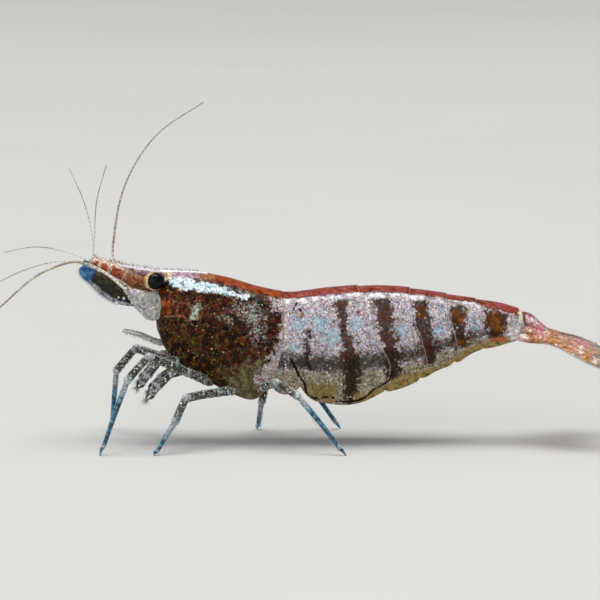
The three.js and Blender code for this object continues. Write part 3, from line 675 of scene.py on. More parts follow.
def loft(path, wide, thick, across=None, sides=16, relief=None):
    """A rounded bar, blade or tube along a path: points, faces and fields.

    The fields are "along", 0 to 1 from root to tip, and "rim", -1 to 1 across the width.
    relief(along, rim) scales the half thickness, as for ribs.
    """
    path = np.asarray(path, float)
    count = len(path)
    wide = np.broadcast_to(np.asarray(wide, float), (count,))
    thick = np.broadcast_to(np.asarray(thick, float), (count,))
    tangents, out, flat = way_across(path, across)
    share = np.linspace(0, 1, count)
    root = [(0, -q, math.sqrt(1 - q * q)) for q in reversed(END_RINGS)]
    body = [(i, 0, 1.0) for i in range(count)]
    tip = [(count - 1, q, math.sqrt(1 - q * q)) for q in END_RINGS]
    turn = np.arange(sides) / sides * 2 * np.pi
    points, along = [], []
    for i, shift, scale in root + body + tip:
        rim = np.cos(turn)
        depth = np.sin(turn) * thick[i]
        if relief is not None:
            depth = depth * relief(share[i], rim)
        centre = path[i] + tangents[i] * shift * min(wide[i], thick[i])
        points.append(centre + scale * (out[i] * (rim * wide[i])[:, None] + flat[i] * depth[:, None]))
        along.append(np.full(sides, share[i]))
    rows = len(points)
    fields = {"along": np.concatenate(along), "rim": np.tile(np.cos(turn), rows)}
    return np.vstack(points), tube_faces(rows, sides), fields


def bristles(roots, ways, lengths, radii, bend=0.15, rings=3, patch=None):
    """Tapering bent hairs with three sides, one from each root: points, faces and fields."""
    roots = np.asarray(roots, float)
    ways = unit(np.broadcast_to(ways, roots.shape))
    lengths, radii = np.broadcast_to(lengths, (len(roots),)), np.broadcast_to(radii, (len(roots),))
    helper = np.where(np.abs(ways[:, 2:3]) < 0.8, [[0.0, 0.0, 1.0]], [[1.0, 0.0, 0.0]])
    out = unit(np.cross(ways, helper))
    flat = np.cross(ways, out)
    turns = np.arange(3) / 3 * 2 * np.pi
    points = []
    for k in range(rings):
        t = k / rings
        centre = roots + ways * (lengths * t)[:, None] + out * (bend * lengths * t * t)[:, None]
        for turn in turns:
            reach = (radii * (1 - 0.75 * t))[:, None]
            points.append(centre + reach * (out * math.cos(turn) + flat * math.sin(turn)))
    points.append(roots + ways * lengths[:, None] + out * (bend * lengths)[:, None])
    per = rings * 3 + 1
    cloud = np.stack(points, axis=1).reshape(-1, 3)
    one = [(0, 2, 1)] + grid_faces(rings, 3, closed=True)
    top = (rings - 1) * 3
    one += [(top, top + 1, per - 1), (top + 1, top + 2, per - 1), (top + 2, top, per - 1)]
    faces = [tuple(i + h * per for i in face) for h in range(len(roots)) for face in one]
    fields = {"along": np.tile(np.append(np.repeat(np.arange(rings) / rings, 3), 1.0), len(roots))}
    if patch is not None:
        size = BAKE_PATCH / 2
        across = np.append(np.tile([-size, 0, size], rings), 0)
        lengthwise = np.append(np.repeat(np.linspace(-size, size, rings), 3), size)
        fields["bake_u"] = (np.asarray(patch[0])[:, None] + lengthwise).ravel()
        fields["bake_v"] = (np.asarray(patch[1])[:, None] + across).ravel()
    return cloud, faces, fields


# ------------------------------------------------------------ the trunk skin


def section(x):
    """Back, belly, half width, end angle and widest level of the trunk at x."""
    back, belly, half, end = np.moveaxis(smooth(TRUNK_STATIONS, x), -1, 0)
    return back, belly, half, np.radians(end), belly + WIDEST_SHARE * (back - belly)


def skin(x, angle):
    """Points of the trunk's skin at length x and angle from the back line, right side positive."""
    back, belly, half, end, middle = section(x)
    rise = np.cos(angle)
    reach = half * np.abs(np.sin(angle)) ** BLUNTNESS * np.sign(angle)
    below = (middle - belly) * rise / np.abs(np.cos(end))
    height = middle + np.where(rise > 0, (back - middle) * rise, below)
    return np.stack([x + 0 * rise, reach, height], axis=-1)


def skin_normal(x, angle):
    """Outward directions of the skin."""
    tiny = 1e-3
    lengthwise = skin(x + tiny, angle) - skin(x - tiny, angle)
    around = skin(x, angle + tiny) - skin(x, angle - tiny)
    return unit(np.cross(around, lengthwise) * -1)


def angle_at(x, z):
    """The angle from the back line at which the skin at x reaches height z."""
    back, belly, half, end, middle = section(x)
    above, below = (z - middle) / (back - middle), (z - middle) / (middle - belly) * np.abs(np.cos(end))
    return np.arccos(np.clip(np.where(z > middle, above, below), np.cos(end), 1))


def edge_on_skin(outline, count):
    """An outline (x, z) as smooth points (x, angle) on the skin."""
    outline = np.array(outline, float)
    return curve(np.column_stack([outline[:, 0], angle_at(outline[:, 0], outline[:, 1])]), count)


def plate_grid(plate, rows, columns):
    """Length x, angle, and share of the way rearward over a plate of shell over the back."""
    half = columns // 2
    s = np.linspace(0, 1, rows)[:, None, None]
    t = np.linspace(0, 1, half + 1)[None, :, None]
    front = edge_on_skin(plate["front"], half + 1)[None]
    rear = edge_on_skin(plate["rear"], half + 1)[None]
    below = edge_on_skin(plate["below"], rows)[:, None]
    top = front[:, :1] + (rear[:, :1] - front[:, :1]) * s
    upper_corners = (1 - s) * front[:, :1] + s * rear[:, :1]
    lower_corners = (1 - s) * front[:, -1:] + s * rear[:, -1:]
    corners = (1 - t) * upper_corners + t * lower_corners
    net = (1 - s) * front + s * rear + (1 - t) * top + t * below - corners
    x = np.concatenate([net[:, :0:-1, 0], net[..., 0]], axis=1)
    angle = np.concatenate([-net[:, :0:-1, 1], net[..., 1]], axis=1)
    return x, angle, s[..., 0] + 0 * x


def spots(x, z, rounds):
    """How far inside the nearest of some round spots (x, z, radius) each point lies."""
    return np.max([size - np.hypot(x - x0, z - z0) for x0, z0, size in rounds], axis=0)


def marks(x, z, areas, rounds, lines):
    """Fields of markings: how far inside any of its shapes each point lies, in millimetres."""
    inside = {name: [within(x, z, outline) for outline in outlines] for name, outlines in areas.items()}
    for name, circles in rounds.items():
        inside.setdefault(name, []).append(spots(x, z, circles))
    for name, strokes in lines.items():
        inside.setdefault(name, []).extend(along_line(x, z, *stroke) for stroke in strokes)
    return {name: np.max(values, axis=0) for name, values in inside.items()}


def back_stripe(x, angle):
    """How far down the skin from the back line each point lies, and the stripe's half width."""
    fine = np.linspace(0, 1, 24)[:, None, None]
    arc = skin(x[None] + 0 * fine, angle[None] * fine)
    depth = np.linalg.norm(np.diff(arc, axis=0), axis=-1).sum(0)
    widening = TAIL_STRIPE["more"] * ease(TAIL_STRIPE["from"], TAIL_STRIPE["to"], x)
    return depth, BACK_STRIPE_SHARE * section(x)[2] + widening


def ring_fields(x, angle):
    """Where the markings of the rings lie, in millimetres: below 0 is outside a mark."""
    z = skin(x, angle)[..., 2]
    back, belly, _, _, _ = section(x)
    share, tall = (z - belly) / (back - belly), back - belly
    depth, stripe = back_stripe(x, angle)
    swell = HEM_SWELL["more"] * bell(x, HEM_SWELL["at"], HEM_SWELL["half"])
    fields = marks(x, z, **RING_MARKS)
    dusk_from, dusk_to = DUSK_SHARES
    return fields | {
        "back": stripe - depth,
        "rail": RAIL_HALF - np.abs(depth - stripe),
        # gleam: partly white pigment and partly a painted highlight below the rose stripe
        "gleam": GLEAM_HALF - np.abs(depth - stripe - GLEAM_HALF * 0.8) - ease(*GLEAM_ENDS, x),
        "dusk": np.minimum(share - dusk_from, dusk_to - share) * tall,
        "skirt": (dusk_from - share) * tall,
        "umbra": np.minimum(fields["band"], (dusk_to - share) * tall),
        "hem": np.minimum(HEM_HEIGHT + swell - (z - belly), x - HEM_START),
    }


def shield_fields(x, angle):
    """Where the markings of the shield lie, in millimetres."""
    z = skin(x, angle)[..., 2]
    back, belly, _, _, _ = section(x)
    depth, stripe = back_stripe(x, angle)
    return marks(x, z, **SHIELD_MARKS) | {
        "back": np.minimum(stripe - depth, (x - STRIPE_START) * 0.6),
        "brow": np.minimum(BROW["depth"] - depth, BROW["half"] - np.abs(x - STRIPE_START + BROW["ahead"])),
        "mauve": np.minimum(MAUVE["depth"] - depth, STRIPE_START - MAUVE["ahead"] - x),
        "ridge": np.minimum(RIDGE["depth"] - depth, STRIPE_START - RIDGE["ahead"] - x),
        "throat": THROAT_SHARE * (back - belly) - (z - belly),
    }


# --------------------------------------------------------------------- paint

FIELDS_READ = {}  # the fields of the pieces that each material reads


def linear(code):
    """An sRGB hex colour as linear red, green, blue and alpha."""
    parts = [int(code[i : i + 2], 16) / 255 for i in (1, 3, 5)]
    return [p / 12.92 if p <= 0.04045 else ((p + 0.055) / 1.055) ** 2.4 for p in parts] + [1.0]


class Paint:
    """A material painted in layers, one over another, whose patterns are sized in millimetres.

    Its methods give sockets: a ground goes in, and the ground with one more layer comes out.
    Several colours are one string of hex codes.
    """

    def __init__(self, name, bites=None, on_body=True):
        """bites is the size in mm of the ragged places in the edges of its markings."""
        self.material = bpy.data.materials.new(name)
        self.material.use_nodes = True
        FIELDS_READ[name] = set()
        self.place = self.node("TexCoord").outputs["Object"]
        if on_body:
            shift = {"Vector": self.place, "Location": tuple(-BODY_SHIFT), "Scale": (1 / MM,) * 3}
            self.place = self.node("Mapping", shift).outputs["Vector"]
        if bites:
            clouds = {"Vector": self.place, "Scale": 1 / bites, "Detail": 5.0, "Roughness": 0.75}
            noise = self.node("TexNoise", clouds).outputs["Fac"]
            spread_out = {0: noise, 1: 4.0, 2: -2.0}  # noise lies round 0.5
            self.ragged = self.node("Math", spread_out, operation="MULTIPLY_ADD").outputs[0]

    def node(self, kind, inputs=(), **settings):
        """Adds a node with its settings; inputs are values, or sockets to link, by name or number."""
        tree = self.material.node_tree
        made = tree.nodes.new("ShaderNode" + kind)
        for name, value in settings.items():
            setattr(made, name, value)
        for key, value in dict(inputs).items():
            if isinstance(value, bpy.types.NodeSocket):
                tree.links.new(value, made.inputs[key])
            else:
                made.inputs[key].default_value = value
        return made

    def finish(self, colour, normal=None, **values):
        """Links what varies over the surface, sets the shader's own values, gives the material."""
        tree = self.material.node_tree
        shader = tree.nodes["Principled BSDF"]
        tree.links.new(colour, shader.inputs["Base Color"])
        if normal is not None:
            tree.links.new(normal, shader.inputs["Normal"])
        for key, value in values.items():
            shader.inputs[key.replace("_", " ")].default_value = value
        return self.material

    def field(self, name):
        """A field of the piece, as its functions leave it on the mesh."""
        FIELDS_READ[self.material.name].add(name)
        return self.node("Attribute", attribute_name=name).outputs["Fac"]

    def palette(self, value, colours, low=0.0, high=1.0, steps=False):
        """Colours spread over a value from low to high, blended or in steps."""
        colours = colours.split()
        made = self.node("ValToRGB", {"Fac": value})
        made.color_ramp.interpolation = "CONSTANT" if steps else "LINEAR"
        stops = made.color_ramp.elements
        stops.remove(stops[1])
        gaps = len(colours) if steps else len(colours) - 1
        for i, colour in enumerate(colours):
            place = low + (high - low) * i / gaps
            stop = stops.new(place) if i else stops[0]
            stop.position = place
            stop.color = linear(colour)
        return made.outputs["Color"]

    def cover(self, ground, paint, value, none, full, strength=1.0):
        """Lays a paint over a ground, smoothly, as a value goes from none to full."""
        paint = linear(paint) if isinstance(paint, str) else paint
        edge = {"Value": value, 1: none, 2: full, 3: 0.0, 4: strength}
        share = self.node("MapRange", edge, interpolation_type="SMOOTHSTEP").outputs["Result"]
        return self.node("Mix", {0: share, 6: ground, 7: paint}, data_type="RGBA").outputs[2]

    def clouds(self, colours, size, width=0.34, place=None):
        """Colours blended in clouds of about this size; a smaller width gives harder edges."""
        noise = {"Vector": place or self.place, "Scale": 1 / size, "Detail": 4.0, "Roughness": 0.6}
        value = self.node("TexNoise", noise).outputs["Fac"]
        return self.palette(value, colours, 0.5 - width / 2, 0.5 + width / 2)

    def patches(self, ground, rows, place=None):
        """Cloud-shaped patches; a row is paint, size, level (0.5 covers half) and strength."""
        for paint, size, level, strength in rows:
            noise = {"Vector": place or self.place, "Scale": 1 / size, "Detail": 4.0, "Roughness": 0.7}
            value = self.node("TexNoise", noise).outputs["Fac"]
            ground = self.cover(ground, paint, value, level - 0.03, level + 0.03, strength)
        return ground

    def coats(self, ground, rows):
        """Markings, each where its field is above 0.

        A row is field, paint, how soft and how ragged the edge is in mm, and strength.
        """
        for field, paint, soft, ragged, strength in rows:
            bitten = {0: self.ragged, 1: ragged, 2: self.field(field)}
            value = self.node("Math", bitten, operation="MULTIPLY_ADD").outputs[0]
            ground = self.cover(ground, paint, value, -soft / 2, soft / 2, strength)
        return ground

    def pigment_cells(self, size):
        """Cells of this size: their distances and three random tones of each."""
        cells = self.node("TexVoronoi", {"Vector": self.place, "Scale": 1 / size}).outputs
        return cells["Distance"], self.node("SeparateColor", {"Color": cells["Color"]}).outputs

    def tinted(self, ground, size, strength, colours):
        """Tints each cell of this size in a colour of its own, some more and some less."""
        _, tone = self.pigment_cells(size)
        weight = {0: tone["Red"], 1: strength * 0.7, 2: strength * 0.3}
        share = self.node("Math", weight, operation="MULTIPLY_ADD").outputs[0]
        paint = self.palette(tone["Green"], colours, steps=True)
        return self.node("Mix", {0: share, 6: ground, 7: paint}, data_type="RGBA").outputs[2]

    def dots(self, ground, spacing, part, radius, colours):
        """Round dots in a part of the cells of this spacing, of a radius over the spacing."""
        away, tone = self.pigment_cells(spacing)
        growth = self.node("Math", {0: tone["Blue"], 1: 0.7, 2: 0.65}, operation="MULTIPLY_ADD").outputs[0]
        away = self.node("Math", {0: away, 1: growth}, operation="DIVIDE").outputs[0]
        edge = {"Value": away, 1: radius + 0.1, 2: radius - 0.1}
        dot = self.node("MapRange", edge, interpolation_type="SMOOTHSTEP").outputs["Result"]
        chosen = self.node("Math", {0: tone["Red"], 1: part}, operation="LESS_THAN").outputs[0]
        share = self.node("Math", {0: dot, 1: chosen}, operation="MULTIPLY").outputs[0]
        paint = self.palette(tone["Green"], colours, steps=True)
        return self.node("Mix", {0: share, 6: ground, 7: paint}, data_type="RGBA").outputs[2]

    def vessels(self, ground, size, wide, paint, strength, place=None):
        """A net of thin winding lines: its meshes and its lines are this wide."""
        place = place or self.place
        noise = {"Vector": place, "Scale": 1.6 / size, "Detail": 2.0}
        bent = self.node("TexNoise", noise).outputs["Color"]
        sway = {0: bent, 1: (size * 0.9,) * 3, 2: place}
        swayed = self.node("VectorMath", sway, operation="MULTIPLY_ADD").outputs["Vector"]
        net = {"Vector": swayed, "Scale": 1 / size}
        away = self.node("TexVoronoi", net, feature="DISTANCE_TO_EDGE").outputs["Distance"]
        return self.cover(ground, paint, away, wide / size, 0.0, strength)

    def relief(self, pit, depth):
        """Fine pits and waves of moulted cuticle, as a normal: pit size and depth in mm."""
        pits = self.node("TexVoronoi", {"Vector": self.place, "Scale": 1 / pit}).outputs["Distance"]
        waves = {"Vector": self.place, "Scale": 1 / (pit * 6), "Detail": 3.0}
        swell = self.node("TexNoise", waves).outputs["Fac"]
        height = self.node("Math", {0: swell, 1: 3.0, 2: pits}, operation="MULTIPLY_ADD").outputs[0]
        return self.node("Bump", {"Height": height, "Distance": depth * MM}).outputs["Normal"]

# ----------------------------------------------------------------- materials


def carapace_shell():
    """Clear cuticle over red-brown pigment cells: wet gloss, mottled dark sides, pale streak."""
    paint = Paint("wet_chitin_mottled_red_brown", bites=0.35)
    rust = paint.clouds("#200400 #621800 #A8440C", 0.3, 0.24)
    olive = paint.clouds("#0A0A04 #1E1C08 #463E1A #2C1A08", 0.5, 0.26)
    blaze = paint.clouds("#4A1000 #9A3A0C #CC7430", 0.22, 0.26)
    colour = paint.clouds("#060100 #1C0800 #3E1400 #523004", 0.6, 0.26)
    colour = paint.coats(colour, [
        ("flare", rust, 0.9, 0.9, 0.25),
        ("throat", olive, 0.9, 0.6, 0.92),
        ("blaze", blaze, 0.25, 0.3, 0.9),
    ])
    dark = "#6E2E0A #0A0300 #8E5018 #481200 #6A5E1A #200600 #6A1200 #120400"
    colour = paint.tinted(colour, CELL, 0.42, dark)
    colour = paint.patches(colour, SHIELD_PATCHES)
    colour = paint.dots(colour, 0.16, 0.14, 0.22, "#C8A878 #9E3410 #98A47C #D4C4AA #B08440")
    veined = paint.vessels(colour, 0.5, 0.03, "#A8805C", 0.6)
    colour = paint.coats(colour, [("vessels", veined, 0.6, 0.9, 1)])
    cloud = paint.tinted(colour, CELL, 0.9, "#929C94 #D0D4D0 #5E443E #A8BCB4 #A08E84 #4A2C22")
    horn = paint.clouds("#2C2814 #564E30 #807856", 0.35, 0.26)
    horn = paint.tinted(horn, CELL, 0.45, "#A8A088 #3A2E1C #7A7048 #8A6A4C")
    pale = paint.clouds("#8A8084 #ACA09E #C4B2AA", 0.4, 0.3)
    pale = paint.tinted(pale, CELL, 0.75, "#F0E8EC #5E3A34 #B48680 #8CA4B8 #3E221C #D0C0C4 #8A5E54")
    orange = paint.clouds("#561606 #82300C #9A461A #8A2A1C", 0.3)
    orange = paint.patches(orange, [("#B87028", 0.4, 0.6, 0.6), ("#B04456", 0.3, 0.6, 0.55)])
    ice = paint.clouds("#547C84 #A8C4D0 #FFFFFF #DDF4F0 #A8A8C8", 0.3, 0.28)
    ice = paint.tinted(ice, CELL, 0.5, "#FFFFFF #7CA4A4 #E4FFFA #A8A4CC #D0ECF0 #5A7C84")
    colour = paint.coats(colour, [
        ("cloud", cloud, 0.6, 0.8, 0.95),
        ("horn", horn, 0.9, 0.8, 0.75),
        ("pale", pale, 0.25, 0.6, 0.92),
        # painted light: a pale rim that lifts the shadow line under the shield's rear edge
        ("hind", pale, 0.1, 0.12, 0.75),
        ("back", orange, 0.2, 0.25, 1),
        ("mauve", paint.clouds("#6A4A58 #A88C98 #D4BCC4", 0.2), 0.15, 0.2, 0.95),
        ("brow", paint.clouds("#5A2E1A #9A6A40 #B48A62", 0.15), 0.25, 0.25, 0.95),
        ("streak", ice, 0.12, 0.26, 0.95),
        ("wedge", paint.clouds("#565C4C #9CA08C #D4D8CE", 0.2, 0.26), 0.1, 0.22, 0.85),
        ("brim", paint.clouds("#7A5A3A #D0B48C #F4E8D0", 0.16, 0.26), 0.1, 0.16, 0.9),
        ("groove", "#A07060", 0.05, 0.03, 0.7),
        # the ridge: partly pale cuticle, partly a painted highlight on the top edge
        ("ridge", "#F8EEF4", 0.06, 0.07, 1),
        ("teeth", "#A8B6BE", 0.05, 0.02, 0.9),
        # painted shadow in the slit behind the eye
        ("orbit", "#0C0605", 0.05, 0.03, 1),
    ])
    return paint.finish(
        colour, paint.relief(0.11, 0.014), Roughness=0.34, IOR=1.5, Specular_IOR_Level=0.05,
        Coat_Weight=0.07, Coat_Roughness=0.08, Subsurface_Weight=0.03,
        Subsurface_Radius=(1.0, 0.45, 0.3), Subsurface_Scale=0.1 * MM,
    )


def abdomen_shell():
    """Clear cuticle over pale muscle: wet gloss, lavender ground, dark bands, a rose back."""
    paint = Paint("wet_chitin_banded", bites=0.3)
    pale = "#F8F4F4 #5A463A #A8746C #90A8BC #E0D4D8 #32261E #7E7668 #C4CCD4"
    colour = paint.clouds("#7C788C #A69CA2 #C2B6BA #AC9892", 0.45, 0.28)
    colour = paint.patches(colour, GROUND_PATCHES)
    colour = paint.tinted(colour, CELL, 0.7, pale)
    dusk = paint.clouds("#0A0A04 #1E1A10 #38301C", 0.3, 0.26)
    dusk = paint.tinted(dusk, CELL, 0.55, "#8A8070 #0A0A04 #44321E #5E5844 #324A2A #52362A #100E08")
    skirt = paint.clouds("#544C34 #7C725A #A4987C", 0.35, 0.3)
    skirt = paint.tinted(skirt, CELL, 0.55, "#E8E0D0 #4A3A2A #A89078 #8A8A70 #D0C4B0 #2E2418")
    khaki = paint.clouds("#584A1C #7C6A30 #94824A", 0.25, 0.28)
    khaki = paint.tinted(khaki, CELL, 0.35, "#A89868 #3E3414 #8A8268 #6A5010")
    brown = paint.clouds("#060200 #1C0C00 #381602 #2C2002", 0.35, 0.26)
    brown = paint.patches(brown, [("#4A1004", 0.4, 0.56, 0.7)])
    brown = paint.tinted(brown, CELL, 0.46, "#5A2C0C #060200 #442006 #7E6248 #180A00 #343E1E #0E0400")
    umbra = paint.clouds("#060402 #160E04 #2A1C0A", 0.3, 0.26)
    umbra = paint.tinted(umbra, CELL, 0.4, "#3E2410 #040200 #26341A #4A3A24 #120802")
    colour = paint.coats(colour, [
        ("sky", paint.clouds("#5E8CB4 #94C4D4 #C0E0E6", 0.25, 0.26), 0.4, 0.6, 0.5),
        ("dusk", dusk, 0.6, 0.5, 0.92),
        ("skirt", skirt, 0.3, 0.3, 0.95),
        ("khaki", khaki, 0.3, 0.25, 0.85),
        ("band", brown, 0.16, 0.42, 0.92),
        ("umbra", umbra, 0.4, 0.5, 0.75),
    ])
    colour = paint.dots(colour, 0.16, 0.12, 0.22, "#F6F2F2 #241410 #96482E #F0E8E8 #54322A")
    crimson = paint.clouds("#2A0A06 #4E160E #6E3022", 0.3, 0.26)
    crimson = paint.tinted(crimson, CELL, 0.45, "#762A22 #240804 #94503A #3A3018")
    mustard = paint.clouds("#483A10 #70602A #9C8848 #7E6E40", 0.3, 0.28)
    mustard = paint.patches(mustard, [("#A8802C", 0.35, 0.57, 0.65), ("#A0806A", 0.3, 0.6, 0.6)])
    mustard = paint.tinted(mustard, CELL, 0.35, "#B8A468 #4A3A10 #8A7E5C #A8883C")
    star = paint.clouds("#A89C9C #E4D8D8 #FFFFFF", 0.16, 0.26)
    rose = paint.clouds("#541606 #7C3210 #8E3C2A #7C281C #965052", 0.5, 0.28)
    rose = paint.patches(rose, ROSE_PATCHES)
    colour = paint.coats(colour, [
        ("crimson", crimson, 0.5, 0.9, 0.42),
        ("amber", paint.clouds("#2E1602 #542C04 #8A500E", 0.4, 0.3), 0.5, 0.22, 0.85),
        ("hem", mustard, 0.3, 0.2, 0.92),
        ("star", paint.tinted(star, CELL, 0.45, pale), 0.3, 0.5, 0.9),
        ("salmon", "#B8502E", 0.1, 0.1, 0.9),
        ("ember", "#8A3414", 0.08, 0.12, 0.9),
        # the gleam is partly white pigment and partly a painted highlight
        ("gleam", paint.clouds("#7C6A6C #D0C6C8 #FFFFFF", 0.34, 0.28), 0.12, 0.42, 0.9),
        ("back", rose, 0.12, 0.14, 1),
        ("rail", "#2A140C", 0.05, 0.12, 0.6),
        ("ink", "#0E0806", 0.04, 0.06, 1),
        ("seam", "#D8C0C0", 0.05, 0.05, 0.25),
        ("hinge", "#E8DCCC", 0.08, 0.2, 0.8),
    ])
    return paint.finish(
        colour, paint.relief(0.1, 0.014), Roughness=0.34, IOR=1.5, Specular_IOR_Level=0.06,
        Coat_Weight=0.08, Coat_Roughness=0.08, Subsurface_Weight=0.03,
        Subsurface_Radius=(1.0, 0.55, 0.4), Subsurface_Scale=0.1 * MM,
    )


def flesh():
    """Muscle and gut seen through thin skin: soft, moist, brownish pink with pale flecks."""
    paint = Paint("moist_muscle", bites=0.3)
    rust = paint.clouds("#4E1E0A #98461A #BC7A3C", 0.25)
    colour = paint.clouds("#3A221A #6A4A38 #8E7664", 0.5)
    colour = paint.coats(colour, [("brow", rust, 0.2, 0.2, 0.95)])
    colour = paint.dots(colour, 0.12, 0.4, 0.32, "#C4B8A8 #7A3018 #9CA8A2")
    return paint.finish(
        colour, paint.relief(0.12, 0.02), Roughness=0.45, IOR=1.4, Coat_Weight=0.2, Coat_Roughness=0.2,
        Subsurface_Weight=0.2, Subsurface_Radius=(1.0, 0.5, 0.35), Subsurface_Scale=0.3 * MM,
    )


def limb_shell():
    """Glassy limb cuticle: clear grey with white flecks, white joints and blue ends."""
    paint = Paint("glassy_chitin_limb", bites=0.2)
    white = paint.clouds("#8496A0 #CDDADE #FFFFFF", 0.16)
    flecks = "#E8ECE8 #5E5030 #7A8680 #141610 #3A3C2C #24241A #8A866C #2C2E22"
    colour = paint.clouds("#141812 #343428 #5E5C4C", 0.3, 0.28)
    colour = paint.tinted(colour, 0.08, 0.56, flecks)
    colour = paint.dots(colour, 0.13, 0.22, 0.3, "#FFFFFF #E4ECEA")
    colour = paint.coats(colour, [
        ("azure", paint.clouds("#0A2A40 #1A5278 #5C9AB4", 0.22, 0.28), 0.5, 0.3, 0.92),
        ("frost", white, 0.5, 0.4, 0.4),
        # painted sheen: pale upper and lower edges of the limbs
        ("edge", paint.clouds("#7E8C84 #B8C4BC #ECEAE8", 0.14, 0.26), 0.05, 0.05, 0.45),
        ("joint", white, 0.14, 0.24, 0.45),
    ])
    return paint.finish(
        colour, paint.relief(0.08, 0.01), Roughness=0.26, IOR=1.5, Specular_IOR_Level=0.2,
        Coat_Weight=0.25, Coat_Roughness=0.08, Transmission_Weight=0.1,
    )


def face_shell():
    """Pale cuticle of the cheeks and feeler stalks: milky grey with fine white grains."""
    paint = Paint("milky_chitin_face", bites=0.15)
    umber = paint.clouds("#241008 #7A3E10 #96603A #5E3E4C", 0.22, 0.24)
    colour = paint.clouds("#6A6A64 #9A9892 #C6C2BC", 0.28, 0.3)
    colour = paint.patches(colour, MILK_PATCHES)
    colour = paint.tinted(colour, 0.1, 0.55, "#F4F4F0 #6A665E #DAD4B0 #A8A4BC #B8C0B4")
    colour = paint.dots(colour, 0.13, 0.3, 0.3, "#FAFAF4 #FFFFFF #E8E0B8 #5A544A")
    colour = paint.coats(colour, [
        ("rust", paint.clouds("#441004 #9A360C #C86224", 0.18, 0.26), 0.1, 0.18, 0.95),
        ("cream", paint.clouds("#8E6E58 #D8BFA4 #F8F2E6", 0.14, 0.28), 0.1, 0.16, 0.9),
        ("umber", paint.tinted(umber, 0.09, 0.35, "#C8A070 #1E0C06 #A85A20 #8A8A68"), 0.6, 0.5, 0.85),
        ("pearl", paint.clouds("#A8A8AC #E6E4E2 #FFFFFF", 0.1, 0.28), 0.06, 0.05, 0.85),
    ])
    return paint.finish(
        colour, paint.relief(0.08, 0.014), Roughness=0.34, IOR=1.5, Specular_IOR_Level=0.2,
        Coat_Weight=0.2, Coat_Roughness=0.1,
    )


def scale_blade():
    """Thin smoky blade of the antennal scale: ribbed, olive-black, pale margins, blue tip."""
    paint = Paint("smoky_chitin_blade", bites=0.2)
    colour = paint.clouds("#080906 #1E1D12 #403A22", 0.5)
    colour = paint.dots(colour, 0.12, 0.2, 0.28, "#5E5A3C #6E4A28")
    colour = paint.coats(colour, [
        ("tawny", paint.clouds("#24240F #4E4828 #7A7048", 0.3, 0.26), 0.3, 0.2, 0.5),
        ("lower", paint.clouds("#4A4C52 #8A8C94 #C4C8CC", 0.15), 0.12, 0.08, 0.8),
        ("blue", paint.clouds("#143A62 #33669A #5E8CA4", 0.3), 0.3, 0.15, 1),
        ("upper", paint.clouds("#7E7A60 #C4BEA4 #F4F0E0", 0.2, 0.28), 0.08, 0.06, 0.85),
    ])
    return paint.finish(
        colour, paint.relief(0.12, 0.012), Roughness=0.26, IOR=1.5, Specular_IOR_Level=0.2,
        Coat_Weight=0.2, Coat_Roughness=0.08,
    )


def fan_blade():
    """Tail blades: thin salmon cuticle with white grains, orange streaks, clear edges and painted highlights.
    """
    paint = Paint("rosy_chitin_fan", bites=0.3)
    drawn = {"Vector": paint.place, "Scale": (0.35, 1.5, 1.3)}  # streaks run along the blades
    along = paint.node("Mapping", drawn).outputs["Vector"]
    colour = paint.clouds("#4A1A12 #8A4C38 #AE7A5C #7E4A54", 0.4, 0.26, along)
    colour = paint.patches(colour, [("#C070A0", 0.4, 0.58, 0.6)], along)
    colour = paint.coats(colour, [
        ("rib", paint.clouds("#8A4A1C #BC7C40 #E0B488", 0.3, 0.3, along), 0.5, 0.7, 0.6),
        # painted highlight streaks along the blades
        ("blink", paint.clouds("#D8A898 #F0DED6 #FFFFFF", 0.25, place=along), 0.3, 0.8, 0.6),
        ("orchid", paint.clouds("#8E4A5E #C27A9C #E0B0C0", 0.3, 0.28, along), 0.6, 0.6, 0.85),
    ])
    grains = "#F4E6E0 #7E2A1C #C88854 #A05C70 #D8B49C #4E1A16 #A8643C #8A8464"
    colour = paint.tinted(colour, 0.09, 0.6, grains)
    colour = paint.patches(colour, FAN_PATCHES)
    # the root: partly chalky white pigment and partly painted glints
    chalk_and_glints = paint.clouds("#9A5A6A #D0B0BC #FFFFFF", 0.16, 0.24)
    chalk_and_glints = paint.tinted(chalk_and_glints, 0.09, 0.45, "#FFFFFF #B04458 #C8A8C8 #E8D0B8 #8A3A48")
    colour = paint.coats(colour, [
        ("clear", paint.clouds("#5E5E4A #96967E #CCCCBC", 0.3), 0.5, 0.4, 0.75),
        ("flame", paint.clouds("#8A3C1A #D08450 #F4CCA0", 0.16, 0.24), 0.4, 0.5, 0.72),
        ("root", chalk_and_glints, 0.3, 0.4, 0.8),
    ])
    # the glint marks paint highlights on the blades
    for mark, stops in FAN_MARK_COLOURS.items():
        colour = paint.coats(colour, [(mark, paint.clouds(stops, 0.14, 0.28), 0.15, 0.3, 0.85)])
    colour = paint.coats(colour, [("crest", "#7A221E", 0.1, 0.12, 0.85)])
    colour = paint.vessels(colour, 0.45, 0.03, "#6E1E2A", 0.25, along)
    return paint.finish(
        colour, paint.relief(0.12, 0.014), Roughness=0.3, IOR=1.5, Specular_IOR_Level=0.15,
        Coat_Weight=0.2, Coat_Roughness=0.1, Subsurface_Weight=0.05,
        Subsurface_Radius=(1.0, 0.5, 0.4), Subsurface_Scale=0.1 * MM,
    )


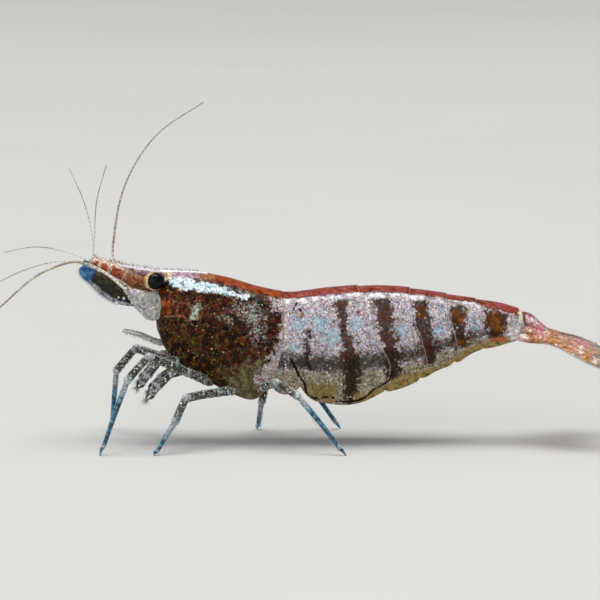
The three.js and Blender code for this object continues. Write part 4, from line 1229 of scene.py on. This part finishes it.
def feeler_skin():
    """Ringed whip of the feelers: pale horn with darker grooves between its rings."""
    paint = Paint("ringed_chitin_feeler", bites=0.3)
    turns = {0: paint.field("length"), 1: 2 * math.pi / FEELER_RING}
    turns = paint.node("Math", turns, operation="MULTIPLY").outputs[0]
    wave = paint.node("Math", {0: turns}, operation="SINE").outputs[0]
    horn = paint.clouds("#7E7462 #A89C88 #CCC4B4", 0.6)
    horn = paint.coats(horn, [("root", "#EEE8DA", 1.0, 0.4, 0.85)])
    edge = {"Value": wave, 1: 0.2, 2: 0.9, 3: 0.0, 4: 0.35}
    share = paint.node("MapRange", edge).outputs["Result"]
    ringed = {0: share, 6: horn, 7: linear("#5A4C3C")}
    colour = paint.node("Mix", ringed, data_type="RGBA").outputs[2]
    bump = paint.node("Bump", {"Height": wave, "Distance": 0.012 * MM}).outputs["Normal"]
    return paint.finish(colour, bump, Roughness=0.42, IOR=1.5, Coat_Weight=0.2, Coat_Roughness=0.2)


def cornea():
    """Black faceted cornea with a gold ring round it: hard, wet and glossy."""
    paint = Paint("black_faceted_cornea", bites=0.1)
    colour = paint.clouds("#020202 #060505 #0C0908", 0.2)
    colour = paint.coats(colour, [
        ("socket", paint.clouds("#7A5048 #C8A49C #EEDCD4", 0.2), 0.04, 0.03, 1),
        ("ring", paint.clouds("#7A5A28 #CDAE6C #F4E4BC", 0.12), 0.03, 0.035, 1),
    ])
    facets = {"Vector": paint.place, "Scale": 1 / EYE_FACET}
    height = paint.node("TexVoronoi", facets).outputs["Distance"]
    bump = paint.node("Bump", {"Height": height, "Distance": 0.002 * MM}).outputs["Normal"]
    return paint.finish(colour, bump, Roughness=0.06, IOR=1.45, Specular_IOR_Level=0.18)


def bristle_skin():
    """Clear stiff hairs: pale horn, paler at the tip."""
    paint = Paint("horny_bristle")
    horn = paint.clouds("#7E765E #A49C84 #BDB8AA", 0.5)
    tipped = {0: paint.field("along"), 6: horn, 7: linear("#D4DEE2")}
    colour = paint.node("Mix", tipped, data_type="RGBA").outputs[2]
    return paint.finish(colour, Roughness=0.35, IOR=1.5, Transmission_Weight=0.15)


def studio_floor():
    """Matt pale card under and behind the animal, with a faint tooth."""
    paint = Paint("matt_pale_card", on_body=False)
    grain = {"Vector": paint.place, "Scale": CARD["teeth"], "Detail": 3.0}
    tooth = paint.node("TexNoise", grain).outputs["Fac"]
    bump = {"Height": tooth, "Distance": CARD["tooth"], "Strength": 0.3}
    normal = paint.node("Bump", bump).outputs["Normal"]
    return paint.finish(paint.clouds("#CBCAC7 #CFCECB", CARD["cloud"]), normal, Roughness=0.9)


# -------------------------------------------------------------------- pieces


def shell_plate(plate, grid, fields_of, relief=None):
    """One plate of shell over the back, standing off the body more towards its rear edge."""
    x, angle, rearward = plate_grid(plate, *grid)
    stand = plate["under"] + (plate["over"] - plate["under"]) * ease(0.0, 1.0, rearward)
    if relief is not None:
        stand = stand + relief(x, angle)
    outer = skin(x, angle) + skin_normal(x, angle) * stand[..., None]
    fields = fields_of(x, angle)
    fields["rear"] = (1 - rearward) * (x[-1:] - x[:1])
    points, faces, pick = sheet(outer, SHELL_THICK)
    fields = {name: values.ravel()[pick] for name, values in fields.items()}
    return points, faces, fields


def shield_relief(x, angle):
    """A keel ahead on the back and the shallow groove behind the cheek, in mm."""
    z = skin(x, angle)[..., 2]
    keel = KEEL["height"] * (1 - ease(*KEEL["fades"], x)) * bell(angle, 0, KEEL["half_angle"])
    return keel - GROOVE["depth"] * bell(along_line(x, z, THROAT_GROOVE), 0, GROOVE["half"])


def carapace_piece(material):
    """The shield over head and thorax."""
    points, faces, fields = shell_plate(CARAPACE, SHIELD_GRID, shield_fields, shield_relief)
    # painted light along the rear edge, over the shadow line beneath it
    fields["hind"] = HIND_RIM - fields["rear"]
    make_piece("carapace_shield", Shape(points, faces, fields), material, "carapace_shell", "carapace")


def rostrum_piece(material):
    """The saw-edged beak between the eyes, running back into the keel."""
    rows, sides = 260, 14
    path = curve(ROSTRUM["path"], rows)
    wide, thick = spread(ROSTRUM["wide"], rows), spread(ROSTRUM["thick"], rows)
    turn = np.arange(sides) / sides * 2 * np.pi
    rise = np.cos(turn)[None] * wide[:, None]
    rise[:, 0] += saw_edge(rows, ROSTRUM_TEETH)
    rise[:, sides // 2] -= saw_edge(rows, ROSTRUM_UNDER_TEETH)
    width = np.sin(turn)[None] * thick[:, None] * (0.35 + 0.65 * np.sin(turn)[None] ** 2)  # sharp edges
    points = np.stack([path[:, :1] + 0 * rise, width, path[:, 2:] + rise], axis=-1).reshape(-1, 3)
    above = (rise - wide[:, None]).ravel()
    # ridge: the pale top edge, partly a painted highlight
    fields = {"ridge": above + RIDGE_DEPTH, "teeth": above - 0.05, "mauve": 1.0}
    shape = Shape(points, tube_faces(rows, sides), fields)
    make_piece("rostrum_beak", shape, material, "carapace_shell", "rostrum")


def saw_edge(rows, teeth):
    """Heights of a row of hooked teeth over even shares of a length."""
    share = np.linspace(0, 1, rows)
    start, end = teeth["from"], teeth["to"]
    saw = ((share - start) / (end - start) * teeth["count"]) % 1.0
    return np.where((share > start) & (share < end), saw ** teeth["hook"], 0.0) * teeth["height"]


def abdomen_pieces(material):
    """The six rings of shell, each tucked under the one before or over both neighbours."""
    for name, plate in PLATES.items():
        points, faces, fields = shell_plate(plate, RING_GRID, ring_fields)
        fields["seam"] = SEAM_RIM - fields["rear"]
        if name == "abdomen_6":
            fields["hinge"] = np.minimum(HINGE["rim"] - fields["rear"], points[:, 2] - HINGE["above"])
        make_piece(name + "_ring", Shape(points, faces, fields), material, "abdomen_shell", name)


def flesh_piece(material):
    """The body under the shell, closed below by the channel roof."""
    rows, sides, inset = 140, 48, FLESH["inset"]
    x = np.linspace(FLESH["from"], FLESH["to"], rows)[:, None]
    turn = (np.arange(sides) / sides * 2 * np.pi)[None]
    back, belly, half, _, middle = section(x)
    chest_roof = 0.04  # ahead of the channel the flesh nearly fills the section
    roof = belly + (back - belly) * (chest_roof + (CHANNEL_SHARE - chest_roof) * ease(*FLESH["channel"], x))
    round_off = np.sqrt(np.clip(1 - (1 - ease(*FLESH["round"], x)) ** 2, 0.2, 1))
    rise = np.cos(turn)
    y = (half - inset) * np.abs(np.sin(turn)) ** BLUNTNESS * np.sign(np.sin(turn)) * round_off
    z = middle + np.where(rise > 0, (back - inset - middle) * rise, (middle - roof) * rise) * round_off
    points = np.stack([x + 0 * y, y, z], axis=-1).reshape(-1, 3)
    shape = Shape(points, tube_faces(rows, sides), {"brow": FLESH["brow"] - points[:, 0]})
    make_piece("flesh_under_shell", shape, material, "carapace_shell", "head")


def ball(centre, axis, radius, angles, rows, sides, flat=1.0):
    """Part of a ball round an axis, between two angles from its pole in degrees."""
    axis = unit(axis)
    out = unit(np.cross(axis, (0.0, 0.0, 1.0)))
    across = np.cross(axis, out)
    turn = np.arange(sides) / sides * 2 * np.pi
    ring = np.cos(turn)[:, None] * out + np.sin(turn)[:, None] * across
    polar = np.radians(np.linspace(*angles, rows))
    points = [centre + axis * radius * math.cos(p) * flat + ring * radius * math.sin(p) for p in polar]
    return np.vstack(points), tube_faces(rows, sides), np.repeat(np.degrees(polar), sides)


def eye_pieces(cornea_material, face_material):
    """Round black eyes on short stalks."""
    radius = EYE["radius"]
    millimetres = math.radians(1) * radius  # along the eye's surface, for one degree
    for name, side in SIDES.items():
        centre = np.array([EYE["x"], EYE["y"] * side, EYE["z"] - EYE_DROP[name]])
        axis = mirrored(unit(EYE["axis"]), side)
        points, faces, degrees = ball(centre, axis, radius, (2, 150), 40, 32, EYE["flat"])
        points[:, 0] = centre[0] + (points[:, 0] - centre[0]) * EYE["longer"]
        ahead = (centre[0] - points[:, 0]) / radius
        low = np.maximum(centre[2] - points[:, 2], 0) / radius
        fields = {
            "ring": (degrees - EYE_RING["at"] + EYE_RING["ahead"] * ahead) * millimetres,
            "socket": (degrees - EYE_SOCKET["at"] + EYE_SOCKET["below"] * low) * millimetres,
        }
        shape = Shape(points, faces, fields)
        make_piece(f"cornea_{name}", shape, cornea_material, "eye", f"eye_{name}")
        root = mirrored(EYESTALK["root"], side)
        path = curve([root, (root + centre) / 2, centre - axis * EYESTALK["short"]], 20)
        girth = spread(EYESTALK["girths"], 20)
        points, faces, fields = loft(path, girth, girth, sides=32)
        ahead = (centre[0] - points[:, 0]) / radius
        fields["rust"] = 0.6 - fields["along"]
        fields["umber"] = 0.2  # all over
        fields["cream"] = np.minimum(fields["along"] - 0.74, 0.1 + 0.4 * ahead)  # a collar, wider ahead
        shape = Shape(points, faces, fields)
        make_piece(f"stalk_{name}", shape, face_material, "limb_shell", f"eyestalk_{name}")


def jointed(shape, joints, girths, flatness=1.0, across=None, bow=0.0, sides=20):
    """Adds a chain of limb segments, each narrow at its root and flared at its far rim.

    Fields: "joint" is high at both ends of a segment, "edge" along its upper and lower sides, where a pale
    sheen is painted, and "reach" is mm from the limb's root, which is also what the function returns.
    """
    joints = np.array(joints, float)
    waist, flare = SEGMENT["waist"], SEGMENT["flare"]
    reach = 0.0
    for start, end, (girth, far_girth) in zip(joints, joints[1:], girths):
        length = np.linalg.norm(end - start)
        t = np.linspace(0, 1, 18)
        path = start + (end - start) * t[:, None]
        path[:, 2] += bow * length * np.sin(np.pi * t)
        radius = (girth + (far_girth - girth) * t) * (waist + (1 - waist) * ease(0.0, SEGMENT["root"], t))
        radius = radius * (1 + flare * bell(t, 1, SEGMENT["rim"]))
        upward = np.cross(end - start, (0, 1, 0)) * (1 if end[0] > start[0] else -1)
        points, faces, fields = loft(path, radius, radius * flatness, across or upward, sides)
        nearest = np.minimum(fields["along"], 1 - fields["along"]) * length
        fields["joint"] = SEGMENT["joint"] - nearest
        # edge: a painted sheen along the upper and lower sides
        fields["edge"] = (np.abs(fields["rim"]) - SEGMENT["edge"]) * girth
        fields["reach"] = reach + fields["along"] * length
        reach += length
        shape.add(points, faces, fields)
    return reach


def split(a, b, shares):
    """Points at shares of the way from a to b."""
    return [a + (b - a) * share for share in shares]


def antennule_pieces(face_material):
    """The four-jointed stalks of the short feelers, scaled like a plume stem."""
    for name, side in SIDES.items():
        shape = Shape()
        jointed(shape, mirrored(ANTENNULE, side), ANTENNULE_GIRTHS, flatness=0.85, across=(0, 0, 1))
        height = shape.fields["rim"] * ANTENNULE_GIRTHS[1][1]
        shape.fields["rust"] = 0.5 - np.abs(height + 0.1)  # nearly all
        shape.fields["cream"] = np.maximum(height - 0.26, shape.fields["joint"] - 0.11)
        shape.fields["umber"] = shape.points[:, 0] - 1.75  # the half near the head
        make_piece(f"antennule_stalk_{name}", shape, face_material, "limb_shell", f"antennule_{name}")


def antenna_base_pieces(face_material):
    """Cheek blocks that carry the scales, and the three-jointed roots of the long feelers."""
    stations = np.array(CHEEK_STATIONS)
    at = np.linspace(0, len(stations) - 1, 60)
    rows = np.stack([np.interp(at, range(len(stations)), column) for column in stations.T], axis=1)
    for name, side in SIDES.items():
        path, across = mirrored(rows[:, :3], side), mirrored(CHEEK_ACROSS, side)
        points, faces, fields = loft(path, rows[:, 3], rows[:, 4], across, sides=40)
        fields["pearl"] = 0.1 - fields["along"] * 1.6
        shape = Shape(points, faces, fields)
        for x, y, z, radius in CHEEK_BEADS:
            bead, faces, _ = ball(np.array([x, y * side, z]), (0, side, 0), radius, (4, 176), 12, 16)
            shape.add(bead, faces, {"pearl": 0.2})
        jointed(shape, mirrored(ANTENNA_STEM, side), ANTENNA_STEM_GIRTHS)
        make_piece(f"antenna_root_{name}", shape, face_material, "limb_shell", f"antenna_{name}_base")


def rounded(widths, count, start):
    """Half widths of a blade that closes in a round tip from a share of its length."""
    share = np.linspace(0, 1, count)
    tip = np.sqrt(np.clip(1 - (np.clip(share - start, 0, 1) / (1 - start)) ** 2, 0.004, 1))
    return spread(widths, count) * tip


def scale_pieces(blade_material):
    """The ribbed blades beside the feelers, with a stiff outer margin."""
    rows = 80
    for name, side in SIDES.items():
        path = curve(mirrored(SCALE["path"], side), rows)

        def ribs(along, rim):
            (margin, *margin_place), (midrib, *midrib_place) = SCALE["ribs"]
            return 1 + margin * bell(rim, *margin_place) + midrib * bell(rim, *midrib_place)

        wide = rounded(SCALE["wide"], rows, SCALE["round_from"])
        across = mirrored(SCALE["across"], side)
        points, faces, fields = loft(path, wide, SCALE["thick"], across, 48, ribs)
        reach, height = fields["along"] * SCALE["length"], fields["rim"] * SCALE["half"]
        fields["blue"] = reach - SCALE["blue_from"]  # the tip
        fields["upper"] = np.minimum(height - 0.51, 3.2 - reach)  # the pale margins above and below
        fields["lower"] = -0.4 - height
        fields["tawny"] = height - 0.12
        shape = Shape(points, faces, fields)
        make_piece(f"feeler_scale_{name}", shape, blade_material, "limb_shell", f"antennal_scale_{name}")


def whip(points, radii, steps):
    """One tapering ringed feeler."""
    path = curve(points, steps)
    length = np.linalg.norm(np.diff(path, axis=0), axis=1).sum()
    root, tip = radii
    radius = root + (tip - root) * np.linspace(0, 1, steps) ** 0.8  # tapers faster near its root
    cloud, faces, fields = loft(path, radius, radius, None, 10)
    fields["length"] = fields["along"] * length
    fields["root"] = PALE_ROOT - fields["length"]
    return Shape(cloud, faces, fields)


def feeler_pieces(material):
    """Long whips of the antennae and the paired short whips of the antennules."""
    for name, side in SIDES.items():
        shape = whip(mirrored(ANTENNAE[name], side), FEELERS["antenna"], 260)
        nodes = [f"antenna_{name}_feeler_{part}" for part in (1, 2)]
        make_piece(f"long_feeler_{name}", shape, material, "feeler", *nodes)
        for level in ("upper", "lower"):
            shape = whip(mirrored(ANTENNULE_FEELERS[f"{name}_{level}"], side), FEELERS["antennule"], 140)
            cad_node = f"antennule_{name}_{level}_feeler"
            make_piece(f"short_feeler_{name}_{level}", shape, material, "feeler", cad_node)


def fan_piece(name, blade, side, material, cad_node):
    """One blade of the tail fan with a midrib, a stiff outer edge and a clear tip."""
    rows = 90
    path = curve(mirrored(blade["path"], side), rows)
    midrib, margin = blade["ribs"]

    def ribs(along, rim):
        return 1 + midrib * bell(rim, 0, 0.14) + margin * bell(rim, 0.82, 0.08)

    wide, thick = rounded(blade["wide"], rows, blade["round_from"]), spread(blade["thick"], rows)
    points, faces, fields = loft(path, wide, thick, mirrored(blade["across"], side), 48, ribs)
    along, rim = fields["along"], np.abs(fields["rim"])
    fields["rib"] = 0.22 - rim * 0.9  # along the midrib
    fields["blink"] = 0.02 - np.abs(fields["rim"] - 0.5) * 0.6  # a painted highlight streak, halfway to the outer edge
    fields["clear"] = (along + 0.3 * rim - 0.86) * 3  # the end, and sooner at the edges
    flame_at, flame_half = blade["flame"]
    fields["flame"] = flame_half - np.abs(points[:, 0] - flame_at)
    # the chalky root, white partly as painted glints
    fields["root"] = blade["root"] - points[:, 0]
    if name == "telson_blade":
        share = np.linspace(0, 1, rows)
        above = points[:, 2] - np.interp(along, share, path[:, 2])
        fields["crest"] = above - 0.72 * np.interp(along, share, thick) - 0.3 * ease(0.4, 0.6, along)
    if "outer" not in name:
        fields["orchid"] = points[:, 0] - ORCHID_FROM
    for mark, rounds in FAN_MARKS.items():
        fields[mark] = spots(points[:, 0], points[:, 2], rounds)
    make_piece(name, Shape(points, faces, fields), material, "tail_fan", cad_node)


def tail_fan_pieces(material):
    """Telson and the two pairs of side blades."""
    fan_piece("telson_blade", TELSON, 1, material, "telson")
    for name, side in SIDES.items():
        for place, blade in UROPODS.items():
            fan_piece(f"fan_{name}_{place}", blade, side, material, f"uropod_{name}_{place}")


def mouth_pieces(face_material):
    """The longest mouth limbs and the small lobes of the jaws between them."""
    for name, side in SIDES.items():
        shape = Shape()
        jointed(shape, mirrored(MAXILLIPED, side), MAXILLIPED_GIRTHS, flatness=0.8)
        make_piece(f"mouth_limb_{name}", shape, face_material, "limb_shell", f"maxilliped_{name}")
        shape = Shape()
        wide, thick = spread(JAW_LOBE["wide"], 16), spread(JAW_LOBE["thick"], 16)
        for lobe in range(JAW_LOBE["count"]):
            low = np.array(JAW_LOBE["first"]) + np.array(JAW_LOBE["step"]) * lobe
            path = curve(mirrored([low + (0.25, 0.05, 0.75), low + (0.05, 0.1, 0.35), low], side), 16)
            shape.add(*loft(path, wide, thick, (1, 0, 0.2), 16))
        make_piece(f"jaw_lobes_{name}", shape, face_material, "limb_shell")


def claw_leg_pieces(material):
    """The two pairs of small claw legs: cupped wrists and short claws with spoon fingers."""
    wide, thick = spread(CLAW_FINGER["wide"], 16), spread(CLAW_FINGER["thick"], 16)
    for number, joints in CLAW_LEGS.items():
        for name, side in SIDES.items():
            hip, elbow, wrist, tip = mirrored(joints, side)
            palm_end = wrist + (tip - wrist) * CLAW_PALM
            chain = split(hip, elbow, (0.0, 0.3, 1.0)) + [wrist, palm_end]
            shape = Shape()
            jointed(shape, chain, CLAW_LEG_GIRTHS, flatness=0.8)
            reach_way = unit(tip - wrist)
            spread_way = unit(np.cross(reach_way, (0, side, 0)))
            for turn in (-1, 1):
                aside = spread_way * CLAW_FINGER["apart"] * turn
                root = palm_end + aside - reach_way * CLAW_FINGER["overlap"]
                end = tip + spread_way * CLAW_FINGER["tips_apart"] * turn
                finger = curve([root, (root + tip) / 2 + aside, end], 16)
                points, faces, fields = loft(finger, wide, thick)
                shape.add(points, faces, fields | {"joint": -0.3})
            shape.fields["joint"] -= 0.05  # joints less white than on the walking legs
            cad_node = f"claw_leg_{number}_{name}"
            make_piece(f"small_claw_{number}_{name}", shape, material, "limb_shell", cad_node)


def walking_leg_pieces(material):
    """Three pairs of walking legs: long shanks, blue ends, curved toes with spines."""
    girth = spread(TOE["girths"], 18)
    for name, side in SIDES.items():
        for number, joints in WALKING_LEGS[name].items():
            hip, knee, wrist, foot = mirrored(joints, side)
            ankle = wrist + (foot - wrist) * TOE["from"]
            toe = foot + (0, 0, TOE["girths"][-1] + TOE["above_floor"])
            chain = split(hip, knee, WALKING_LEG_SHARES) + [wrist, ankle]
            shape = Shape()
            reach = jointed(shape, chain, WALKING_LEG_GIRTHS, flatness=0.9, bow=0.02)
            claw = curve([ankle, (ankle + toe) / 2 + np.array(TOE["bend"]), toe], 18)
            points, faces, fields = loft(claw, girth, girth)
            shape.add(points, faces, fields | {"joint": -0.2, "reach": reach})
            shank = shape.fields["reach"] - np.linalg.norm(knee - hip) - np.linalg.norm(wrist - knee)
            shape.fields["azure"] = (shank - LEG_MARKS["blue_from"]) * 0.6
            shape.fields["frost"] = LEG_MARKS["pale_half"] - np.abs(shank - LEG_MARKS["pale_at"])
            near_body = 1 - ease(*LEG_MARKS["joints_rise"], shape.fields["reach"])
            shape.fields["joint"] -= SEGMENT["joint"] * near_body  # no white joints there
            nodes = [f"leg_{number}_{name}_upper", f"leg_{number}_{name}_lower"]
            make_piece(f"walking_leg_{number}_{name}", shape, material, "limb_shell", *nodes)


def swimmeret_tops(side):
    """Root places on the channel roof and lengths of the swimmerets of one side."""
    for x, length in zip(SWIMMERET["roots"], SWIMMERET["lengths"]):
        back, belly, _, _, _ = section(np.array(x))
        yield np.array([x, SWIMMERET["y"] * side, belly + CHANNEL_SHARE * (back - belly)]), length


def swimmeret_pieces(material):
    """Five pairs of swimmerets: a stem and two leaf blades each."""
    down = np.array([-SWIMMERET["sweep"], 0.0, -1.0])
    wide = rounded(SWIMMERET["wide"], 30, 0.8)
    for name, side in SIDES.items():
        for number, (top, length) in enumerate(swimmeret_tops(side), start=1):
            root = top - down * SWIMMERET["root"]
            knee = root + down * (SWIMMERET["root"] + SWIMMERET["stem"] * length)
            shape = Shape()
            jointed(shape, [root, knee], SWIMMERET["girths"], flatness=0.7)
            for turn in (-1, 1):
                tip = knee + down * SWIMMERET["blade"] * length + (0.14 * turn, 0.1 * turn * side, 0)
                path = curve([knee - down * 0.05, (knee + tip) / 2 + (0.05 * turn, 0, 0), tip], 30)
                points, faces, fields = loft(path, wide, SWIMMERET["thick"], (1, 0, 0.3), 20)
                shape.add(points, faces, fields | {"joint": -0.3})
            piece = f"swimming_leg_{number}_{name}"
            make_piece(piece, shape, material, "limb_shell", f"swimmeret_{number}_{name}")


# ------------------------------------------------------------------- bristles


def fringe(shape, dice, blade, side, count, length, from_share, strip, turns=(-1, 1)):
    """Hairs along the rim of a blade; strip is the band of the bake map that they use."""
    path = curve(mirrored(blade["path"], side), 200)
    wide = rounded(blade["wide"], 200, 0.8)
    tangents, out, _ = way_across(path, mirrored(blade["across"], side))
    share = np.linspace(from_share, 0.995, count)
    i = (share * 199).astype(int)
    for turn in turns:
        roots = path[i] + out[i] * (wide[i] * turn * 0.97)[:, None]
        aside = out[i] * turn * (1.15 - share[:, None])
        onward = tangents[i] * (0.75 + 0.5 * share[:, None])
        ways = aside + onward + dice.normal(0, 0.05, (count, 3))
        lengths = length * (0.55 + 0.45 * np.sin(np.pi * share**1.5)) * dice.uniform(0.85, 1.1, count)
        patch = (0.02 + 0.96 * share, np.full(count, strip + 0.01 * turn))
        shape.add(*bristles(roots, ways, lengths, 0.014, 0.1, patch=patch))


def brush(shape, dice, root, way, count, length, radius, strip):
    """A tuft of fine hairs round one place."""
    roots = np.array(root) + dice.normal(0, radius, (count, 3))
    ways = unit(way) + dice.normal(0, 0.28, (count, 3))
    lengths = length * dice.uniform(0.6, 1.1, count)
    patch = (np.full(count, 0.5) + dice.uniform(-0.3, 0.3, count), np.full(count, strip))
    shape.add(*bristles(roots, ways, lengths, 0.012, 0.2, patch=patch))


def spines(shape, a, b, side, count, girth, strip):
    """A row of short stiff spines along one segment of a leg."""
    roots = a + (b - a) * np.linspace(*SPINE["shares"], count)[:, None]
    away = unit(np.cross(b - a, (0, side, 0.2)))
    ways = unit(b - a) * 0.6 + away * 0.5
    patch = (np.linspace(0.1, 0.9, count), np.full(count, strip))
    shape.add(*bristles(roots + away * girth * 0.8, ways, SPINE["length"], SPINE["radius"], 0.1, patch=patch))


def fan_fringe_piece(material, dice):
    """Hairs on the rims of telson and side blades."""
    shape = Shape()
    fringe(shape, dice, TELSON, 1, 24, 0.3, 0.6, 0.1)
    for k, side in enumerate(SIDES.values()):
        for m, blade in enumerate(UROPODS.values()):
            fringe(shape, dice, blade, side, 90, 0.42, 0.3, 0.2 + 0.2 * k + 0.1 * m)
    make_piece("fan_fringe", shape, material, "tail_fan")


def head_bristles_piece(material, dice):
    """Hairs on the scales, the feeler stalks, the mouth limbs and the beak."""
    shape = Shape()
    for k, side in enumerate(SIDES.values()):
        fringe(shape, dice, SCALE, side, 70, 0.34, 0.25, 0.1 + 0.1 * k, turns=(-1,))
        for j, point in enumerate(mirrored(ANTENNULE, side)[1:]):
            way = (-0.7, 0.1 * side, 0.9)
            brush(shape, dice, point + (0.05, 0, 0.24), way, 12, 0.2, 0.05, 0.3 + 0.02 * j)
        for j, point in enumerate(curve(mirrored(MAXILLIPED, side), 20)[4:]):
            brush(shape, dice, point, (-0.5, 0.2 * side, -0.9), 6, 0.2, 0.04, 0.5 + 0.02 * j)
    for point in curve(ROSTRUM["path"], 60)[8:56:2]:
        brush(shape, dice, point + (0, 0, 0.26), (-0.75, 0, 0.7), 9, 0.24, 0.04, 0.9)
    make_piece("head_bristles", shape, material, "limb_shell")


def limb_bristles_piece(material, dice):
    """Brushes on the claws and swimmerets, and spines on the walking legs."""
    shape = Shape()
    for joints in CLAW_LEGS.values():
        for side in SIDES.values():
            _, _, wrist, tip = mirrored(joints, side)
            way = unit(tip - wrist)
            for turn in (-1, 1):
                aside = np.cross(way, (0, side, 0)) * turn
                root = tip - way * 0.05 + aside * 0.04
                brush(shape, dice, root, way + aside * 0.25, 26, 0.42, 0.03, 0.1)
    for name, side in SIDES.items():
        for number, joints in WALKING_LEGS[name].items():
            joints = mirrored(joints, side)
            for a, b, (count, girth) in zip(joints, joints[1:], SPINE["rows"]):
                spines(shape, a, b, side, count, girth, 0.3 + 0.05 * number)
    down = np.array([-SWIMMERET["sweep"], 0.0, -1.0])
    for side in SIDES.values():
        for top, length in swimmeret_tops(side):
            brush(shape, dice, top + down * length, (-0.3, 0.05 * side, -0.9), 24, 0.34, 0.12, 0.7)
    make_piece("limb_bristles", shape, material, "limb_shell")


# --------------------------------------------------------------------- stage


def area_light(name, place, size, watts, colour="#FFFFFF"):
    """A soft box of (width, height) millimetres at a place, turned to the animal's middle."""
    light = bpy.data.lights.new(name, "AREA")
    light.shape = "RECTANGLE"
    light.size, light.size_y = size[0] * MM, size[1] * MM
    light.energy = watts
    light.color = linear(colour)[:3]
    lamp = bpy.data.objects.new(name, light)
    lamp.location = to_frame(place)
    way = Vector(to_frame(BODY_MIDDLE)) - lamp.location
    lamp.rotation_euler = way.to_track_quat("-Z", "Y").to_euler()
    bpy.context.scene.collection.objects.link(lamp)


def set_camera():
    """A long lens, eight degrees above level, square to the animal's left side."""
    lens = bpy.data.cameras.new("camera")
    lens.lens, lens.sensor_width = CAMERA["lens"], CAMERA["sensor"]
    lens.clip_start, lens.clip_end = 0.005, 20.0
    camera = bpy.data.objects.new("camera", lens)
    distance = CAMERA["width"] * CAMERA["lens"] / CAMERA["sensor"]
    rise = math.radians(CAMERA["elevation"])
    target = np.array(CAMERA["target"], float)
    camera.location = to_frame(target + distance * np.array([0, -math.cos(rise), math.sin(rise)]))
    camera.rotation_euler = (math.pi / 2 - rise, 0, 0)
    bpy.context.scene.collection.objects.link(camera)
    bpy.context.scene.camera = camera


def set_studio():
    """Pale card floor, an overhead soft box, a small lamp for glints, and a weak fill in front."""
    half = CARD["half"]
    mesh = bpy.data.meshes.new("floor_card")
    corners = [(-half, -half, 0), (half, -half, 0), (half, half, 0), (-half, half, 0)]
    mesh.from_pydata(corners, [], [(0, 1, 2, 3)])
    mesh.materials.append(studio_floor())
    floor = bpy.data.objects.new("floor_card", mesh)
    bpy.context.scene.collection.objects.link(floor)
    area_light("soft_box_above", (0, -60, 1500), (1300, 800), 18.5)
    area_light("lamp_above_left", (-260, -500, 1250), (120, 60), 0.9)
    area_light("fill_front", (-180, -440, 230), (620, 480), 1.1, "#F6F9FF")
    world = bpy.data.worlds.new("studio")
    world.use_nodes = True
    background = world.node_tree.nodes["Background"]
    background.inputs["Color"].default_value = linear("#F2F3F4")
    background.inputs["Strength"].default_value = 0.4
    bpy.context.scene.world = world
    bpy.context.scene.view_settings.view_transform = "Standard"


def build():
    """All pieces of the animal."""
    shield, limb, face, hair = carapace_shell(), limb_shell(), face_shell(), bristle_skin()
    carapace_piece(shield)
    rostrum_piece(shield)
    abdomen_pieces(abdomen_shell())
    flesh_piece(flesh())
    eye_pieces(cornea(), face)
    antennule_pieces(face)
    antenna_base_pieces(face)
    scale_pieces(scale_blade())
    feeler_pieces(feeler_skin())
    tail_fan_pieces(fan_blade())
    mouth_pieces(face)
    claw_leg_pieces(limb)
    walking_leg_pieces(limb)
    swimmeret_pieces(limb)
    dice = np.random.default_rng(7)
    fan_fringe_piece(hair, dice)
    head_bristles_piece(hair, dice)
    limb_bristles_piece(hair, dice)


set_camera()
set_studio()
build()
